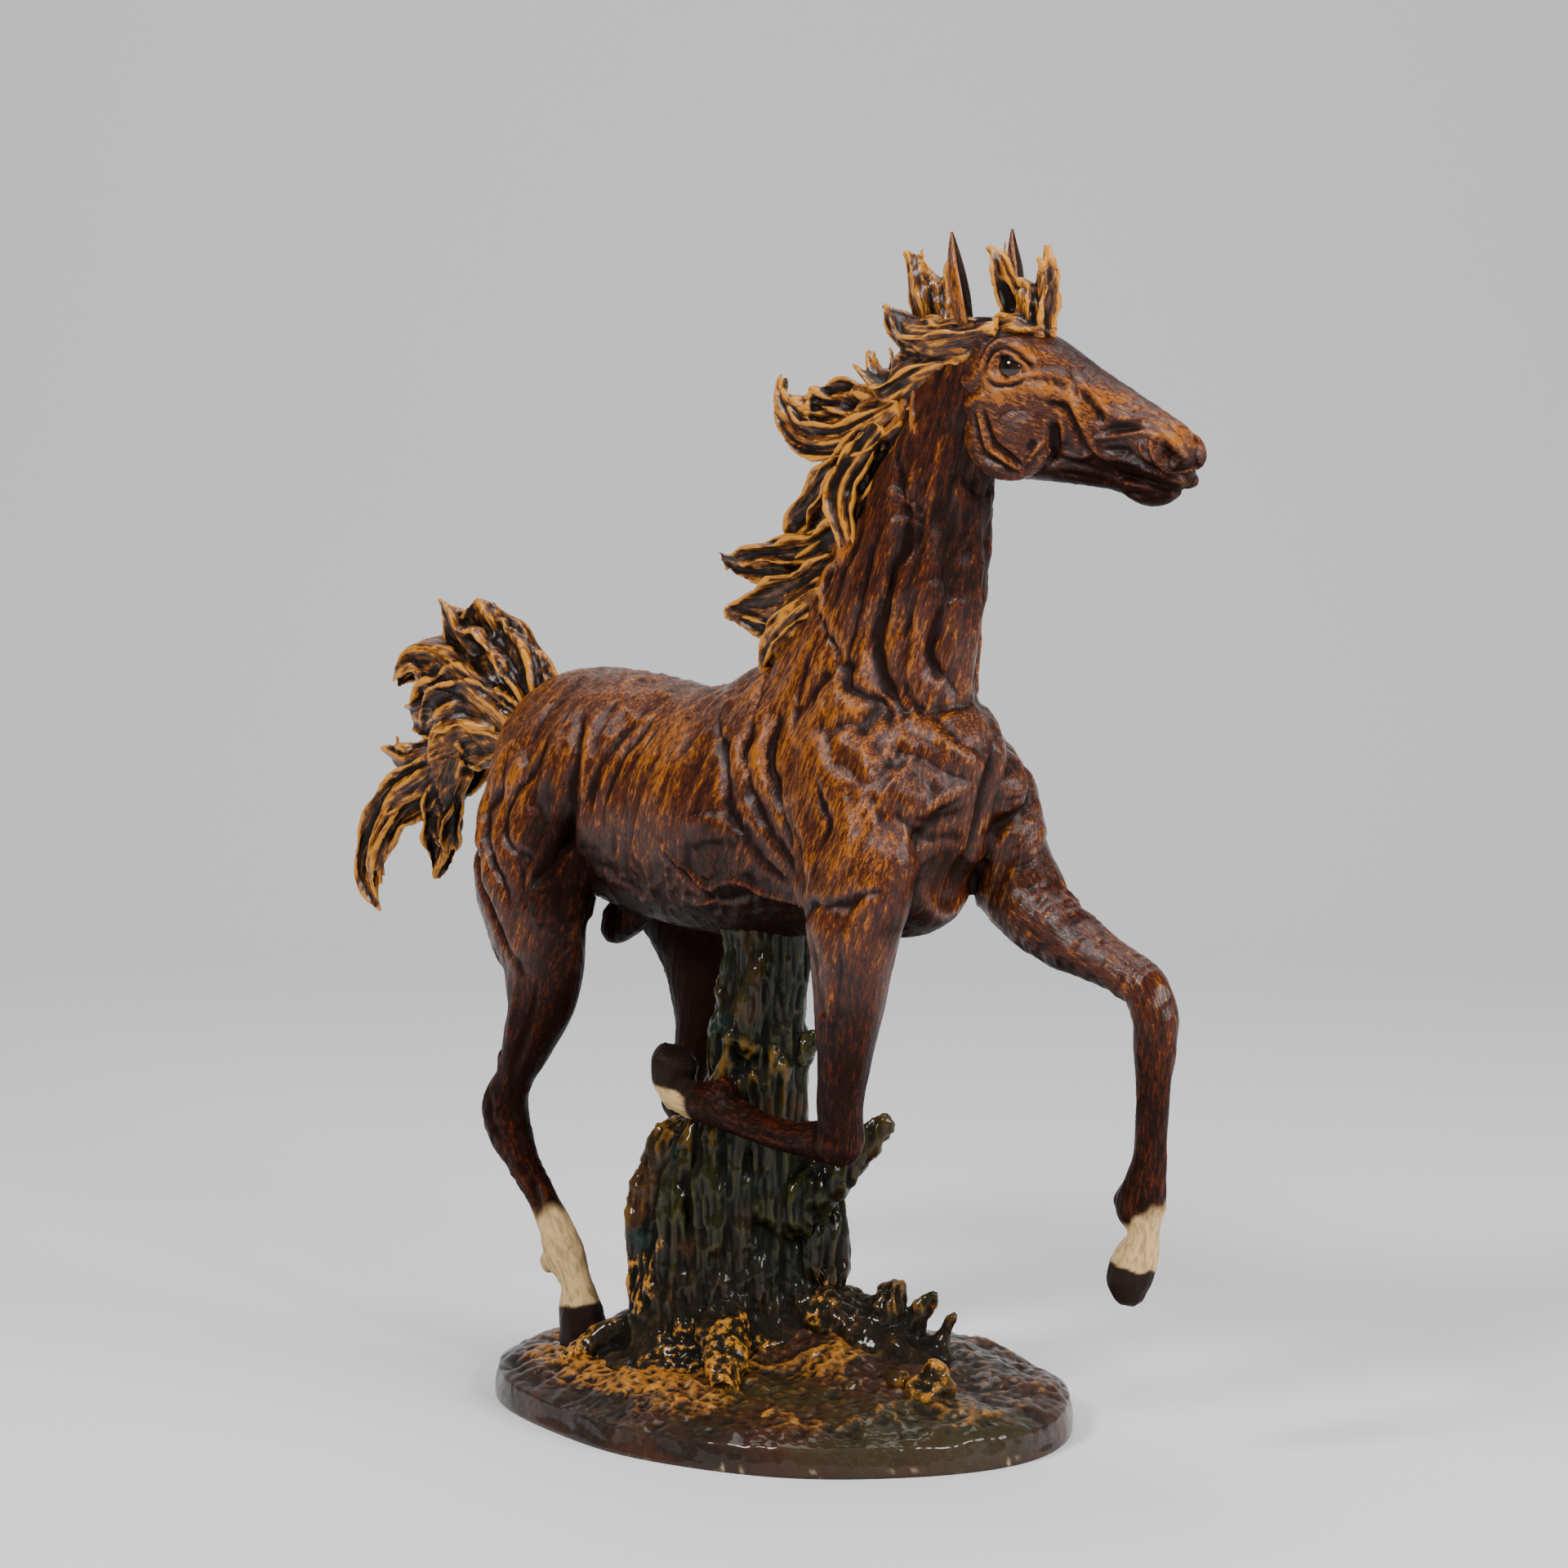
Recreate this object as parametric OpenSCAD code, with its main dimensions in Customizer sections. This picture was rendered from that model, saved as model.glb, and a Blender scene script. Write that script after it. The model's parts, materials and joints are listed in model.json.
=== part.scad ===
// Prancing stallion on a rocky base, a hollow cold-painted bronze built up from separate castings.
// Row frame: +X is the way the horse faces, +Y its left side, +Z up, origin under the middle of the base.
// Every organic casting is a loft: rows of [x, y, z, side, front, back] give the middle of a section,
// its half width to the side, and its half depths on the front (or upper) and back (or lower) faces.

/* [Base] */
// Length of the base along the horse
base_length = 202; // [194:1:212]
// Width of the base across the horse
base_width = 140; // [134:1:148]
// Height of the base's steep rim
rim_height = 7; // [6:0.5:9]
// Height of the ground where the tree trunk stands
mound_height = 27; // [25:1:29]
// Metal thickness of the base casting
base_wall = 4; // [3:0.5:5]

/* [Castings] */
// Metal thickness of the horse's hollow castings
wall = 3.5; // [2.5:0.5:4]
// Metal thickness of the tree trunk casting
trunk_wall = 4; // [3:0.5:5]
// Clearance between two castings that meet
joint_gap = 0.05; // [0:0.05:0.2]

/* [Fasteners] */
// Radius of the tie rod that holds the horse down on the trunk
rod_radius = 3; // [2.5:0.5:3]
// Radius of the studs cast into the standing hooves
stud_radius = 2; // [1.5:0.5:2.5]
// Radius of the dowels that join each leg to the body
dowel_radius = 2.5; // [2:0.5:3]
// Radius of the cross pins through the dowels
pin_radius = 0.9; // [0.7:0.1:1.1]
// Radial clearance of dowels, pins and studs in their holes
hole_gap = 0.2; // [0.1:0.05:0.3]

/* [Fineness] */
// Corners around a limb section
limb_sides = 12; // [12:2:16]
// Corners around a body section
body_sides = 20; // [18:2:24]

/* [Hidden] */
bronze = "#8a4b1c";
dark_bronze = "#3c1c10";
ochre = "#b9731f";
moss = "#3d3c1a";
earth = "#4a2c14";
brass = "#b08d3c";
steel = "#9a9a96";
across = [0, 1, 0];

// Body, from the buttocks to the breast
torso_rows = [
    [-118, 0, 188, 8, 12, 13], [-112.5, 0, 188, 19, 22.5, 25], [-101, 0, 190, 25, 31, 33],
    [-86, 0, 192, 28, 34.5, 36], [-68, 0, 193, 29, 34, 37], [-48, 0, 190, 27.5, 35.5, 36],
    [-30, 0, 188, 29, 36.5, 36], [-10, 0, 189, 30, 39, 37.5], [8, 0, 192, 29, 44, 39.5],
    [26, 0, 195, 27, 44, 42], [44, 0, 197, 27, 40, 43], [58, 1, 198, 26, 34, 41],
    [70, 3, 198, 22, 28, 34], [79, 5, 196, 11, 16, 18]
];
// Neck, from the withers up to the throat
neck_rows = [
    [24, 0, 206, 25, 34, 48], [34, 0, 228, 21.5, 30, 42], [42.5, 0, 247, 19, 26, 36],
    [51, 0, 267, 17, 23.5, 29.5], [59, 0.3, 287, 15, 20, 22.5], [67, 0.7, 305, 14, 17, 18],
    [75, 1.2, 321, 12.5, 14, 15]
];
neck_joint = 2;
// Head, as [forward, z, side, up, down] in its own plane, which is turned a little to the left
head_turn = 10;
head_start = [80, 1];
head_profile = [
    [-7, 321, 8, 11, 14], [0, 319, 12.5, 17, 20], [9, 316, 15, 20, 22], [19, 312.5, 15, 20.5, 21],
    [29, 309, 12, 18, 18], [40, 305, 9, 15, 14.5], [51, 301, 8, 13, 13], [60, 298.5, 8.5, 10.5, 12.5],
    [65.5, 298, 7.5, 8.5, 9.5], [68.5, 297.5, 5, 5, 6]
];
head_side = [-sin(head_turn), cos(head_turn), 0];
head_rows = [for (h = head_profile)
    [head_start.x + h[0] * cos(head_turn), head_start.y + h[0] * sin(head_turn), h[1], h[2], h[3], h[4]]];
// Legs, from inside the body down to the hoof; the joint number is the row where the casting is cut
hind_right_rows = [
    [-86, -14, 196, 12, 20, 20], [-92, -17, 178, 14.5, 27, 24], [-94, -19, 160, 14.5, 27, 22],
    [-91, -20.5, 146, 12.5, 22, 19], [-87, -21, 133, 10.5, 16, 16], [-89, -21.5, 119, 9, 12, 12.5],
    [-94, -22, 107, 7, 9, 9], [-100, -22, 96, 5.5, 6.5, 6.5], [-103.5, -22, 87, 6, 7.5, 10],
    [-102, -22, 79, 6.2, 7.5, 9], [-96, -22, 69, 5, 6, 6], [-88, -22, 60, 4.5, 5, 5.5],
    [-81, -22, 51, 5, 5.5, 6], [-76, -22, 42, 6, 6.5, 7.5], [-71.5, -22, 34, 5, 5, 5],
    [-69.5, -22, 27, 7, 7, 6.5], [-67.5, -22, 20, 8, 8.5, 7], [-66, -22, 14, 8.8, 9.5, 7.5]
];
hind_left_rows = [
    [-84, 14, 196, 12, 20, 20], [-78, 17, 178, 14.5, 27, 24], [-70, 19, 160, 14, 25, 20],
    [-63, 20, 146, 12, 20, 16], [-58, 20.5, 133, 10, 15, 14], [-57, 21, 120, 8.5, 11.5, 12],
    [-60, 21.5, 108, 7, 9, 9], [-64, 22, 97, 5.8, 6.5, 7], [-66, 22, 88, 6, 7.5, 8.5],
    [-64, 22.5, 79, 5.8, 7, 7], [-61, 23, 69, 4.8, 5.5, 5.5], [-58, 24, 59, 4.5, 5, 5],
    [-55.5, 25, 50, 5, 5.5, 6], [-54, 25.5, 41, 6, 6.5, 7.5], [-50.5, 26, 33, 5, 5, 5],
    [-48, 26, 26, 7, 7, 6.5], [-46.5, 26, 20, 8, 8.5, 7], [-45.5, 26, 14, 8.8, 9.5, 7.5]
];
hind_joint = 4;
fore_right_rows = [
    [20, -14, 222, 6, 16, 14], [34, -20, 206, 8.5, 22, 20], [48, -22, 190, 10, 24, 24],
    [55, -24, 175, 11, 20, 22], [54, -25, 161, 11.5, 16, 17], [53, -25, 150, 10.5, 13.5, 14],
    [52, -25, 140, 9.5, 12, 12], [50.5, -25, 126, 8.3, 9.5, 9.5], [48.5, -24.5, 112, 7, 7.5, 7.5],
    [47.5, -24, 103, 6.8, 7, 7], [47.5, -24, 95, 6.8, 7.5, 6.5], [46.5, -23.8, 89.5, 5, 5, 4.5]
];
fore_right_joint = 5;
folded_cannon_rows = [
    [46, -24, 95.5, 6, 6, 5.5], [40, -23.3, 95, 6.3, 6.5, 6.3], [31, -22, 94, 5.2, 5.2, 5.2],
    [20, -21, 93.5, 4.8, 4.8, 5], [8, -20, 94.5, 4.8, 4.8, 5], [-3, -19.3, 96.5, 5.3, 5.5, 5.8],
    [-10, -19, 98.5, 6, 6.5, 6.3], [-15, -18.8, 100.5, 5.2, 5.5, 5.4], [-19.5, -18.5, 102.5, 5.4, 6, 5.2],
    [-23, -18.3, 105, 6.8, 7, 6.3], [-26.5, -18, 108, 7.6, 7.5, 6.8], [-29.5, -18, 110.5, 8, 8, 7]
];
fore_left_rows = [
    [24, 14, 222, 6, 16, 14], [46, 19, 208, 8.5, 20, 20], [63, 23, 193, 10.5, 18, 22],
    [70, 24, 178, 11, 14, 18], [81, 24, 164.5, 10.5, 12, 13], [94, 24, 157, 9.5, 10, 10.5],
    [108, 24, 151.5, 8, 7.5, 7.5], [117, 24, 148, 7, 7, 7], [124, 24, 144, 7, 7.5, 6.5],
    [127.5, 24, 137, 7, 7, 6.5], [127.5, 24, 129, 6.2, 6.8, 6.2], [127.5, 24, 120, 5.3, 5.5, 5.5],
    [127, 24, 108, 4.8, 4.8, 5], [126.5, 24, 96, 4.8, 4.8, 5.4], [125, 24, 87, 5.5, 6, 7.5],
    [123.4, 24, 80, 6, 8, 8.5], [124.4, 24, 72.5, 4.6, 4.6, 4.8], [122.2, 24, 66.5, 6.4, 6.2, 6.6],
    [120, 24, 60.5, 7.1, 6.8, 7.2], [116.2, 24, 52.2, 7.2, 8.2, 6.8]
];
fore_left_joint = 4;
// Ears
ear_right_rows = [
    [81, -5, 332, 3, 3, 3], [80, -6.5, 341, 3, 4.2, 4.2], [79, -7.5, 349, 2.6, 4, 4],
    [77.5, -8, 356, 1.8, 2.6, 2.6], [76, -8, 362.5, 0.5, 0.6, 0.6]
];
ear_left_rows = [
    [87, 5, 334, 3, 3, 3], [87, 7, 343, 3, 3.6, 3.6], [86, 8.4, 350, 2.6, 3.4, 3.4],
    [85, 9, 357, 1.7, 2.2, 2.2], [84, 9, 363.5, 0.5, 0.6, 0.6]
];
// Hair: each lock runs from its root to its tip
forelock_locks = [
    [[98, 3, 330, 5, 6, 6], [95, 2, 340, 5, 5.5, 5.5], [90, 1, 349, 3, 3.4, 3.4], [86, 0, 359, 1, 1.2, 1.2]],
    [[98, 3, 330, 5, 6, 6], [102, 3, 340, 4.5, 5.5, 5.5], [104, 2, 349, 3, 3.6, 3.6], [109, 0, 358, 1, 1.2, 1.2]]
];
poll_tufts = [
    [[68, -1, 326, 5, 7, 7], [61, -1, 338, 4, 6, 6], [57, 0, 348, 3, 4.6, 4.6], [54, 0, 358, 1, 1.4, 1.4]],
    [[72, 0, 328, 4, 5, 5], [68, 0, 341, 3, 3.5, 3.5], [65, 0, 354, 1, 1.2, 1.2]]
];
crest_locks = [
    [[92, -6, 334, 3, 4, 4], [80, -8, 332, 4.5, 6, 6], [66, -8, 331, 5, 7, 7], [54, -6, 333, 3.5, 5.5, 5.5],
        [43, -4, 339.5, 1, 1.2, 1.2]],
    [[76, -6, 325, 5, 6, 6], [64, -7, 321, 6, 8, 8], [52, -6, 316, 6, 8, 8], [44, -5, 320, 3.5, 4.5, 4.5],
        [37, -4, 326, 1, 1.2, 1.2]]
];
upper_locks = [
    [[58, -8, 312, 5, 7, 7], [45, -8, 306, 5, 8, 8], [31, -7, 302, 5.5, 7.5, 8], [16, -6, 303, 5, 7, 7.5],
        [6, -6, 311, 3.5, 5, 5], [2, -6, 320, 1, 1.2, 1.2]],
    [[54, -6, 314, 4, 5, 5], [42, -5, 311, 4.5, 5, 5], [29, -4, 314, 4, 4.5, 4.5], [15, -4, 314, 1.5, 2, 2]]
];
middle_locks = [
    [[52, -9, 304, 4, 5, 6], [38, -9, 292, 5, 8, 9], [25, -8, 280, 5, 8, 9], [14, -7, 271, 3, 5, 6],
        [8, -7, 265, 1, 1.5, 1.5]],
    [[52, -12, 306, 3, 3, 3], [41, -12, 294, 3.5, 4, 4], [38, -13, 281, 3.5, 4, 4], [42, -13, 268, 1, 1.2, 1.2]]
];
lower_locks = [
    [[42, -10, 276, 5, 7, 7], [28, -9, 268, 5.5, 8, 8], [10, -8, 264, 5, 7, 7], [-8, -7, 263, 3.5, 4.5, 5],
        [-22.5, -6, 263, 1.5, 2, 2]],
    [[34, -9, 264, 5, 7, 7], [18, -9, 255, 5, 7, 7], [0, -8, 250, 4.5, 7, 7], [-16, -8, 251, 1.5, 2.5, 2.5]],
    [[30, -10, 258, 4, 5, 5], [14, -11, 249, 4, 5, 5], [5, -11, 240, 3.5, 4, 4], [-2, -9, 230, 1, 1.5, 1.5]]
];
sheath_rows = [
    [-44, 0, 160, 7, 8, 8], [-56, 0, 154, 7, 8, 8], [-67, 0, 148.5, 6.5, 7, 7], [-76, 0, 145, 6, 6.4, 6.4],
    [-82, 0, 145, 2.5, 3, 3]
];
tail_root = [-113, 0, 206];
tail_upper_locks = [
    [[-106, 0, 200, 7, 8, 8], [-118, -1, 220, 7, 9, 8], [-127, -2, 236, 4.5, 7, 6], [-135, -4, 248, 1, 1.3, 1.3]],
    [[-108, 0, 202, 7, 8, 8], [-128, -4, 224, 8, 9, 9], [-142, -5, 235, 5, 7, 7], [-150, -6, 247, 1, 1.4, 1.4]],
    [[-110, 0, 202, 7, 9, 9], [-130, -5, 216, 9, 12, 12], [-147, -8, 225, 7, 10, 10],
        [-161, -9, 226, 5, 7, 7], [-171, -10, 221, 1.5, 3, 3]]
];
tail_lower_locks = [
    [[-124, -4, 204, 6, 9, 9], [-142, -7, 204, 8, 13, 13], [-150, -9, 190, 7, 11, 11], [-150, -9, 177, 3, 4, 4]],
    [[-138, -8, 200, 5, 8, 8], [-154, -10, 194, 5, 7, 7], [-166, -11, 192, 3.5, 4.5, 4.5],
        [-175, -12, 198, 1, 1.3, 1.3]],
    [[-144, -8, 194, 5, 7, 7], [-157, -11, 184, 5.5, 8, 8], [-169, -13, 177, 5, 7.5, 7.5],
        [-176, -15, 166, 4, 6.5, 6.5], [-179, -16, 153, 3, 5, 5], [-175, -16, 141, 1, 1.2, 1.2]],
    [[-142, -8, 192, 4.5, 6, 6], [-149, -8, 178, 4.5, 6, 6], [-152, -8, 165, 3.5, 5, 5],
        [-153, -8, 153, 1, 1.5, 1.5]]
];
// Tree trunk, upwards from inside the ground; its broad side faces the horse's front right
trunk_turn = 45;
trunk_rows = [
    [-22, 0, 20, 21, 34, 33], [-23, 0, 34, 20, 31, 30], [-23, 0, 48, 19, 29, 29], [-21, 0, 64, 18, 28, 28],
    [-18, 0, 78, 17, 26, 25], [-15, 0, 90, 15, 20, 20], [-12, 0, 102, 14, 17, 16], [-12, 0, 116, 13, 17, 16],
    [-10, 0, 130, 12, 15, 15], [-7, 0, 142, 12, 14, 14], [-7, 0, 151.5, 11, 13, 13]
];
branch_locks = [
    [[-8, 4, 60, 8, 10, 10], [4, 8, 70, 7, 9, 9], [12, 14, 79, 6, 6.5, 7], [19, 19, 87, 4.5, 5, 5],
        [24, 22, 93.5, 2.4, 2.6, 2.6]],
    [[-2, 4, 66, 5, 6, 6], [10, 8, 71, 3.2, 3.6, 3.6], [16, 11, 74, 1.8, 2, 2]],
    [[-8, 4, 106, 5, 6, 6], [0, 7, 113, 3.2, 3.4, 3.4], [6, 9, 119, 1.8, 2, 2]]
];
root_locks = [
    [[-8, 8, 34, 10, 12, 12], [8, 15, 31, 9, 9, 9], [24, 20, 29, 8, 8, 8], [38, 26, 25, 6, 6, 6],
        [52, 32, 19, 4, 3.5, 3.5]],
    [[24, 18, 33, 5, 6, 6], [26, 19, 39, 5.5, 6.5, 5.5], [27, 20, 43.5, 3.5, 4, 4]],
    [[30, 22, 31, 4, 4, 4], [34, 24, 38, 3.4, 3.4, 3.4], [39, 27, 42, 2.4, 2.4, 2.4]],
    [[36, 25, 25, 3.5, 3.5, 3.5], [39, 28, 31, 3, 3, 3], [42, 31, 34.5, 2, 2, 2]],
    [[-12, -14, 28, 9, 9, 9], [-1, -24, 23, 7, 6, 6], [8, -34, 15, 4, 4, 4]],
    [[-40, -10, 26, 8, 9, 9], [-52, -24, 20, 6, 5, 6], [-60, -38, 12, 4, 3, 4]]
];
rock_spots = [[60, 2, 19, 8], [46, 4, 20, 5.5], [36, -8, 19, 5.5], [32, -36, 12, 6], [-8, -46, 11, 6]];
belly_z = 152;
trunk_axis = [-10, 0];

// Tie rod, studs and screws
rod_bottom = 9;
rod_top = 168;
nut_height = 5;
nut_across = 11;
washer_radius = 8;
washer_height = 1.4;
hoof_spots = [[-66, -22], [-45.5, 26]];
stud_top = 24;
stud_bottom = 3;
trunk_screw_spots = [[-40, -18], [-4, 18]];
lug_radius = 6;
lug_top = 44;
thread_gap = 0.05;
inner_sides = 16;
dowel_length = 22;
pin_length = 7;

function unit(v) = v / norm(v);
function middle(row) = [row[0], row[1], row[2]];
// A point of the smooth curve through rows a, b, c, d, at t from b to c
function curve(a, b, c, d, t) =
    0.5 * (2 * b + (c - a) * t + (2 * a - 5 * b + 4 * c - d) * t * t + (3 * b - a - 3 * c + d) * t * t * t);
function fine(rows, steps) = let (n = len(rows)) concat(
    [for (i = [0:n - 2], s = [0:steps - 1])
        curve(rows[max(0, i - 1)], rows[i], rows[i + 1], rows[min(n - 1, i + 2)], s / steps)],
    [rows[n - 1]]);
function heading(rows, i) = unit(middle(rows[min(len(rows) - 1, i + 1)]) - middle(rows[max(0, i - 1)]));
// One section: an oval across the curve, deeper on its front or its back as the row says
function section(row, along, side, sides) =
    let (s = unit(side - (side * along) * along), f = cross(along, s))
    [for (k = [0:sides - 1]) let (a = 360 * k / sides)
        middle(row) + s * row[3] * cos(a) + f * sin(a) * (sin(a) > 0 ? row[4] : row[5])];
function sections(rows, side, sides) = [for (i = [0:len(rows) - 1]) section(rows[i], heading(rows, i), side, sides)];
function part_of(rows, first, last) = [for (i = [first:last]) rows[i]];
function thinner(rows, by) = [for (r = rows) [r[0], r[1], r[2], r[3] - by, r[4] - by, r[5] - by]];
function flat(lists) = [for (l = lists, p = l) p];
function mean_point(points) = [for (k = [0:2]) [for (p = points) p[k]] * [for (p = points) 1] / len(points)];

// A closed skin over rings of equal count, with a fan at each end
module skin(rings) {
    sides = len(rings[0]);
    count = len(rings);
    points = concat(flat(rings), [mean_point(rings[0]), mean_point(rings[count - 1])]);
    polyhedron(points, concat(
        [for (i = [0:count - 2], k = [0:sides - 1]) let (a = i * sides + k, b = i * sides + (k + 1) % sides)
            [a, a + sides, b]],
        [for (i = [0:count - 2], k = [0:sides - 1]) let (a = i * sides + k, b = i * sides + (k + 1) % sides)
            [b, a + sides, b + sides]],
        [for (k = [0:sides - 1]) [count * sides, k, (k + 1) % sides]],
        [for (k = [0:sides - 1]) let (e = (count - 1) * sides) [count * sides + 1, e + (k + 1) % sides, e + k]]));
}

module loft(rows, steps = 2, side = across, sides = limb_sides) {
    skin(sections(fine(rows, steps), side, sides));
}

// A loft cut at two of its rows, so that the pieces on either side share that section's outline
module loft_between(rows, first, last, steps = 2, side = across, sides = limb_sides) {
    all = sections(fine(rows, steps), side, sides);
    skin(part_of(all, first * steps, last * steps));
}

// Joins what it holds into one casting with one skin; a size of 0 leaves the size alone
module one_casting() resize([0, 0, 0]) union() children();

module at_row(rows, i) {
    way = heading(rows, i);
    translate(middle(rows[i])) rotate([0, acos(way.z), atan2(way.y, way.x)]) children();
}

// Ground
base_sides = 40;
function edge_radius(a) =
    let (e = 1 / sqrt(pow(cos(a) / (base_length / 2), 2) + pow(sin(a) / (base_width / 2), 2)))
    e * (1 - 0.058 * cos(a) + 0.07 * sin(a) - 0.03 * cos(2 * a) + 0.05 * sin(2 * a) - 0.036 * cos(3 * a)
        + 0.006 * sin(7 * a + 30));
// The ground falls from a mound under the trunk to a shelf, and then to the rim
shelf_height = 18;
function ground(x, y) =
    let (far = norm([x, y]) / edge_radius(atan2(y, x)), slope = max(0, 1 - far * far),
        near_trunk = exp(-(pow((x + 14) / 40, 2) + pow((y - 4) / 30, 2))))
    rim_height + (shelf_height - rim_height) * pow(slope, 0.5) * (1 + 0.3 * sin(atan2(y, x)))
        + (mound_height - shelf_height) * near_trunk + 0.9 * sin(7 * x + 3 * y) * slope * sin(5 * y - 20);
function ground_ring(share, top) = [for (k = [0:base_sides - 1])
    let (a = 360 * k / base_sides, r = edge_radius(a) * share, x = r * cos(a), y = r * sin(a)) [x, y, top(x, y)]];
under = function(x, y) max(2, ground(x, y) - base_wall);
rest_plane = function(x, y) 0;
over = function(x, y) ground(x, y);

module base_shape() {
    inner = 1 - base_wall / (base_width / 2);
    skin(concat(
        [for (s = [0.08, 0.3, 0.5, 0.7, 0.86]) ground_ring(s * inner, under)],
        [ground_ring(inner * 0.97, function(x, y) ground(x, y) * 0.55), ground_ring(inner, rest_plane)],
        [ground_ring(1, rest_plane), ground_ring(0.995, function(x, y) ground(x, y) * 0.6)],
        [for (s = [0.965, 0.9, 0.78, 0.62, 0.46, 0.3, 0.14, 0.04]) ground_ring(s, over)]));
}

module base_solid() {
    skin(concat([ground_ring(1, rest_plane)], [for (s = [0.995]) ground_ring(s, function(x, y) ground(x, y) * 0.6)],
        [for (s = [0.965, 0.9, 0.78, 0.62, 0.46, 0.3, 0.14, 0.04]) ground_ring(s, over)]));
}

module base_casting() {
    color(earth) difference() {
        base_shape();
        translate([trunk_axis.x, 0, -1]) cylinder(r = rod_radius + hole_gap, h = 60, $fn = 48);
        for (p = hoof_spots) translate([p.x, p.y, -1]) cylinder(r = stud_radius + hole_gap, h = 40, $fn = 48);
        for (p = trunk_screw_spots) translate([p.x, p.y, -1]) cylinder(r = stud_radius + hole_gap, h = 60, $fn = 48);
    }
}

module root_casting() {
    color(earth) one_casting() difference() {
        for (l = root_locks) loft(l, steps = 3, sides = 12);
        base_solid();
        trunk_solid();
        hind_left_solid();
        for (p = hoof_spots) translate([p.x, p.y, 0]) cylinder(r = 11, h = 60, $fn = 24);
    }
}

module rock_casting() {
    color(earth) one_casting() difference() {
        for (s = rock_spots) translate([s.x, s.y, s.z]) scale([1, 0.85, 1]) sphere(r = s[3], $fn = 14);
        base_solid();
        for (l = root_locks) loft(l, steps = 3, sides = 12);
    }
}

// Tree trunk
trunk_side = [-sin(trunk_turn), cos(trunk_turn), 0];

module trunk_solid() loft(trunk_rows, side = trunk_side, sides = 16);

module trunk_lugs() intersection() {
    loft(thinner(trunk_rows, 1), side = trunk_side, sides = 16);
    for (p = trunk_screw_spots) translate([p.x, p.y, 0]) cylinder(r = lug_radius, h = lug_top, $fn = 24);
}

module trunk_casting() {
    color(moss) one_casting() difference() {
        union() {
            difference() {
                trunk_solid();
                translate([0, 0, -trunk_wall]) loft(thinner(trunk_rows, trunk_wall), side = trunk_side, sides = 14);
            }
            trunk_lugs();
        }
        base_solid();
        for (p = trunk_screw_spots) translate([p.x, p.y, 0])
            cylinder(r = stud_radius + thread_gap, h = lug_top - 4, $fn = 24);
        translate([trunk_axis.x, 0, 0]) cylinder(r = rod_radius + hole_gap, h = 170, $fn = 24);
        torso_solid();
        folded_cannon_solid();
        hind_left_solid();
    }
}

module branch_casting() {
    color(moss) one_casting() difference() {
        for (l = branch_locks) loft(l, steps = 3, sides = 12);
        trunk_solid();
        fore_right_solid();
        folded_cannon_solid();
    }
}

// Horse
module torso_solid() {
    loft(torso_rows, sides = body_sides);
    loft(sheath_rows, sides = 10);
    loft_between(neck_rows, 0, neck_joint, sides = body_sides);
    loft_between(hind_right_rows, 0, hind_joint);
    loft_between(hind_left_rows, 0, hind_joint);
    loft_between(fore_right_rows, 0, fore_right_joint);
    loft_between(fore_left_rows, 0, fore_left_joint);
}

module neck_solid() loft(neck_rows, sides = body_sides);

module head_solid() loft(head_rows, side = head_side, sides = 20);

module hind_left_solid() loft_between(hind_left_rows, hind_joint, len(hind_left_rows) - 1);

module fore_right_solid() loft_between(fore_right_rows, fore_right_joint, len(fore_right_rows) - 1);

module folded_cannon_solid() loft(folded_cannon_rows);

module dowel_hole(rows, i) {
    at_row(rows, i) cylinder(r = dowel_radius + hole_gap, h = dowel_length + 1, center = true, $fn = 24);
}

module leg_joints() {
    for (leg = [[hind_right_rows, hind_joint], [hind_left_rows, hind_joint],
            [fore_right_rows, fore_right_joint], [fore_left_rows, fore_left_joint]])
        at_row(leg[0], leg[1]) children();
}

module torso_casting() {
    color(bronze) one_casting() difference() {
        torso_solid();
        loft(part_of(thinner(torso_rows, wall), 1, len(torso_rows) - 2), sides = inner_sides);
        loft(thinner(part_of(neck_rows, 0, neck_joint + 1), wall), sides = inner_sides);
        leg_joints() cylinder(r = dowel_radius + hole_gap, h = dowel_length + 1, center = true, $fn = 24);
        tail_place() cylinder(r = dowel_radius + hole_gap, h = 31, center = true, $fn = 24);
        translate([trunk_axis.x, 0, belly_z - 10]) cylinder(r = rod_radius + hole_gap, h = 30, $fn = 24);
    }
}

module neck_casting() {
    color(bronze) one_casting() difference() {
        loft_between(neck_rows, neck_joint, len(neck_rows) - 1, sides = body_sides);
        loft(part_of(thinner(neck_rows, wall), neck_joint - 1, len(neck_rows) - 1), sides = inner_sides);
        head_solid();
    }
}

module head_casting() {
    color(bronze) head_solid();
}

module ear(rows) {
    color(dark_bronze) one_casting() difference() {
        loft(rows, steps = 2, sides = 10);
        head_solid();
    }
}

module hair(locks, sides = 10) {
    color(ochre) one_casting() difference() {
        for (l = locks) loft(l, steps = 3, sides = sides);
        neck_solid();
        head_solid();
        torso_solid();
        children();
    }
}

module forelock_casting() hair(forelock_locks) {
    loft(ear_right_rows, steps = 2, sides = 10);
    loft(ear_left_rows, steps = 2, sides = 10);
}

module poll_tuft_casting() hair(poll_tufts) loft(ear_right_rows, steps = 2, sides = 10);

module locks(list) for (l = list) loft(l, steps = 3, sides = 10);

module mane_crest_casting() hair(crest_locks) {
    loft(ear_right_rows, steps = 2, sides = 10);
    locks(forelock_locks);
    locks(poll_tufts);
}

module mane_upper_casting() hair(upper_locks) locks(crest_locks);

module mane_middle_casting() hair(middle_locks) locks(upper_locks);

module mane_lower_casting() hair(lower_locks) locks(middle_locks);

module tail_place() translate(tail_root) rotate([0, -46, 0]) children();

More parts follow.
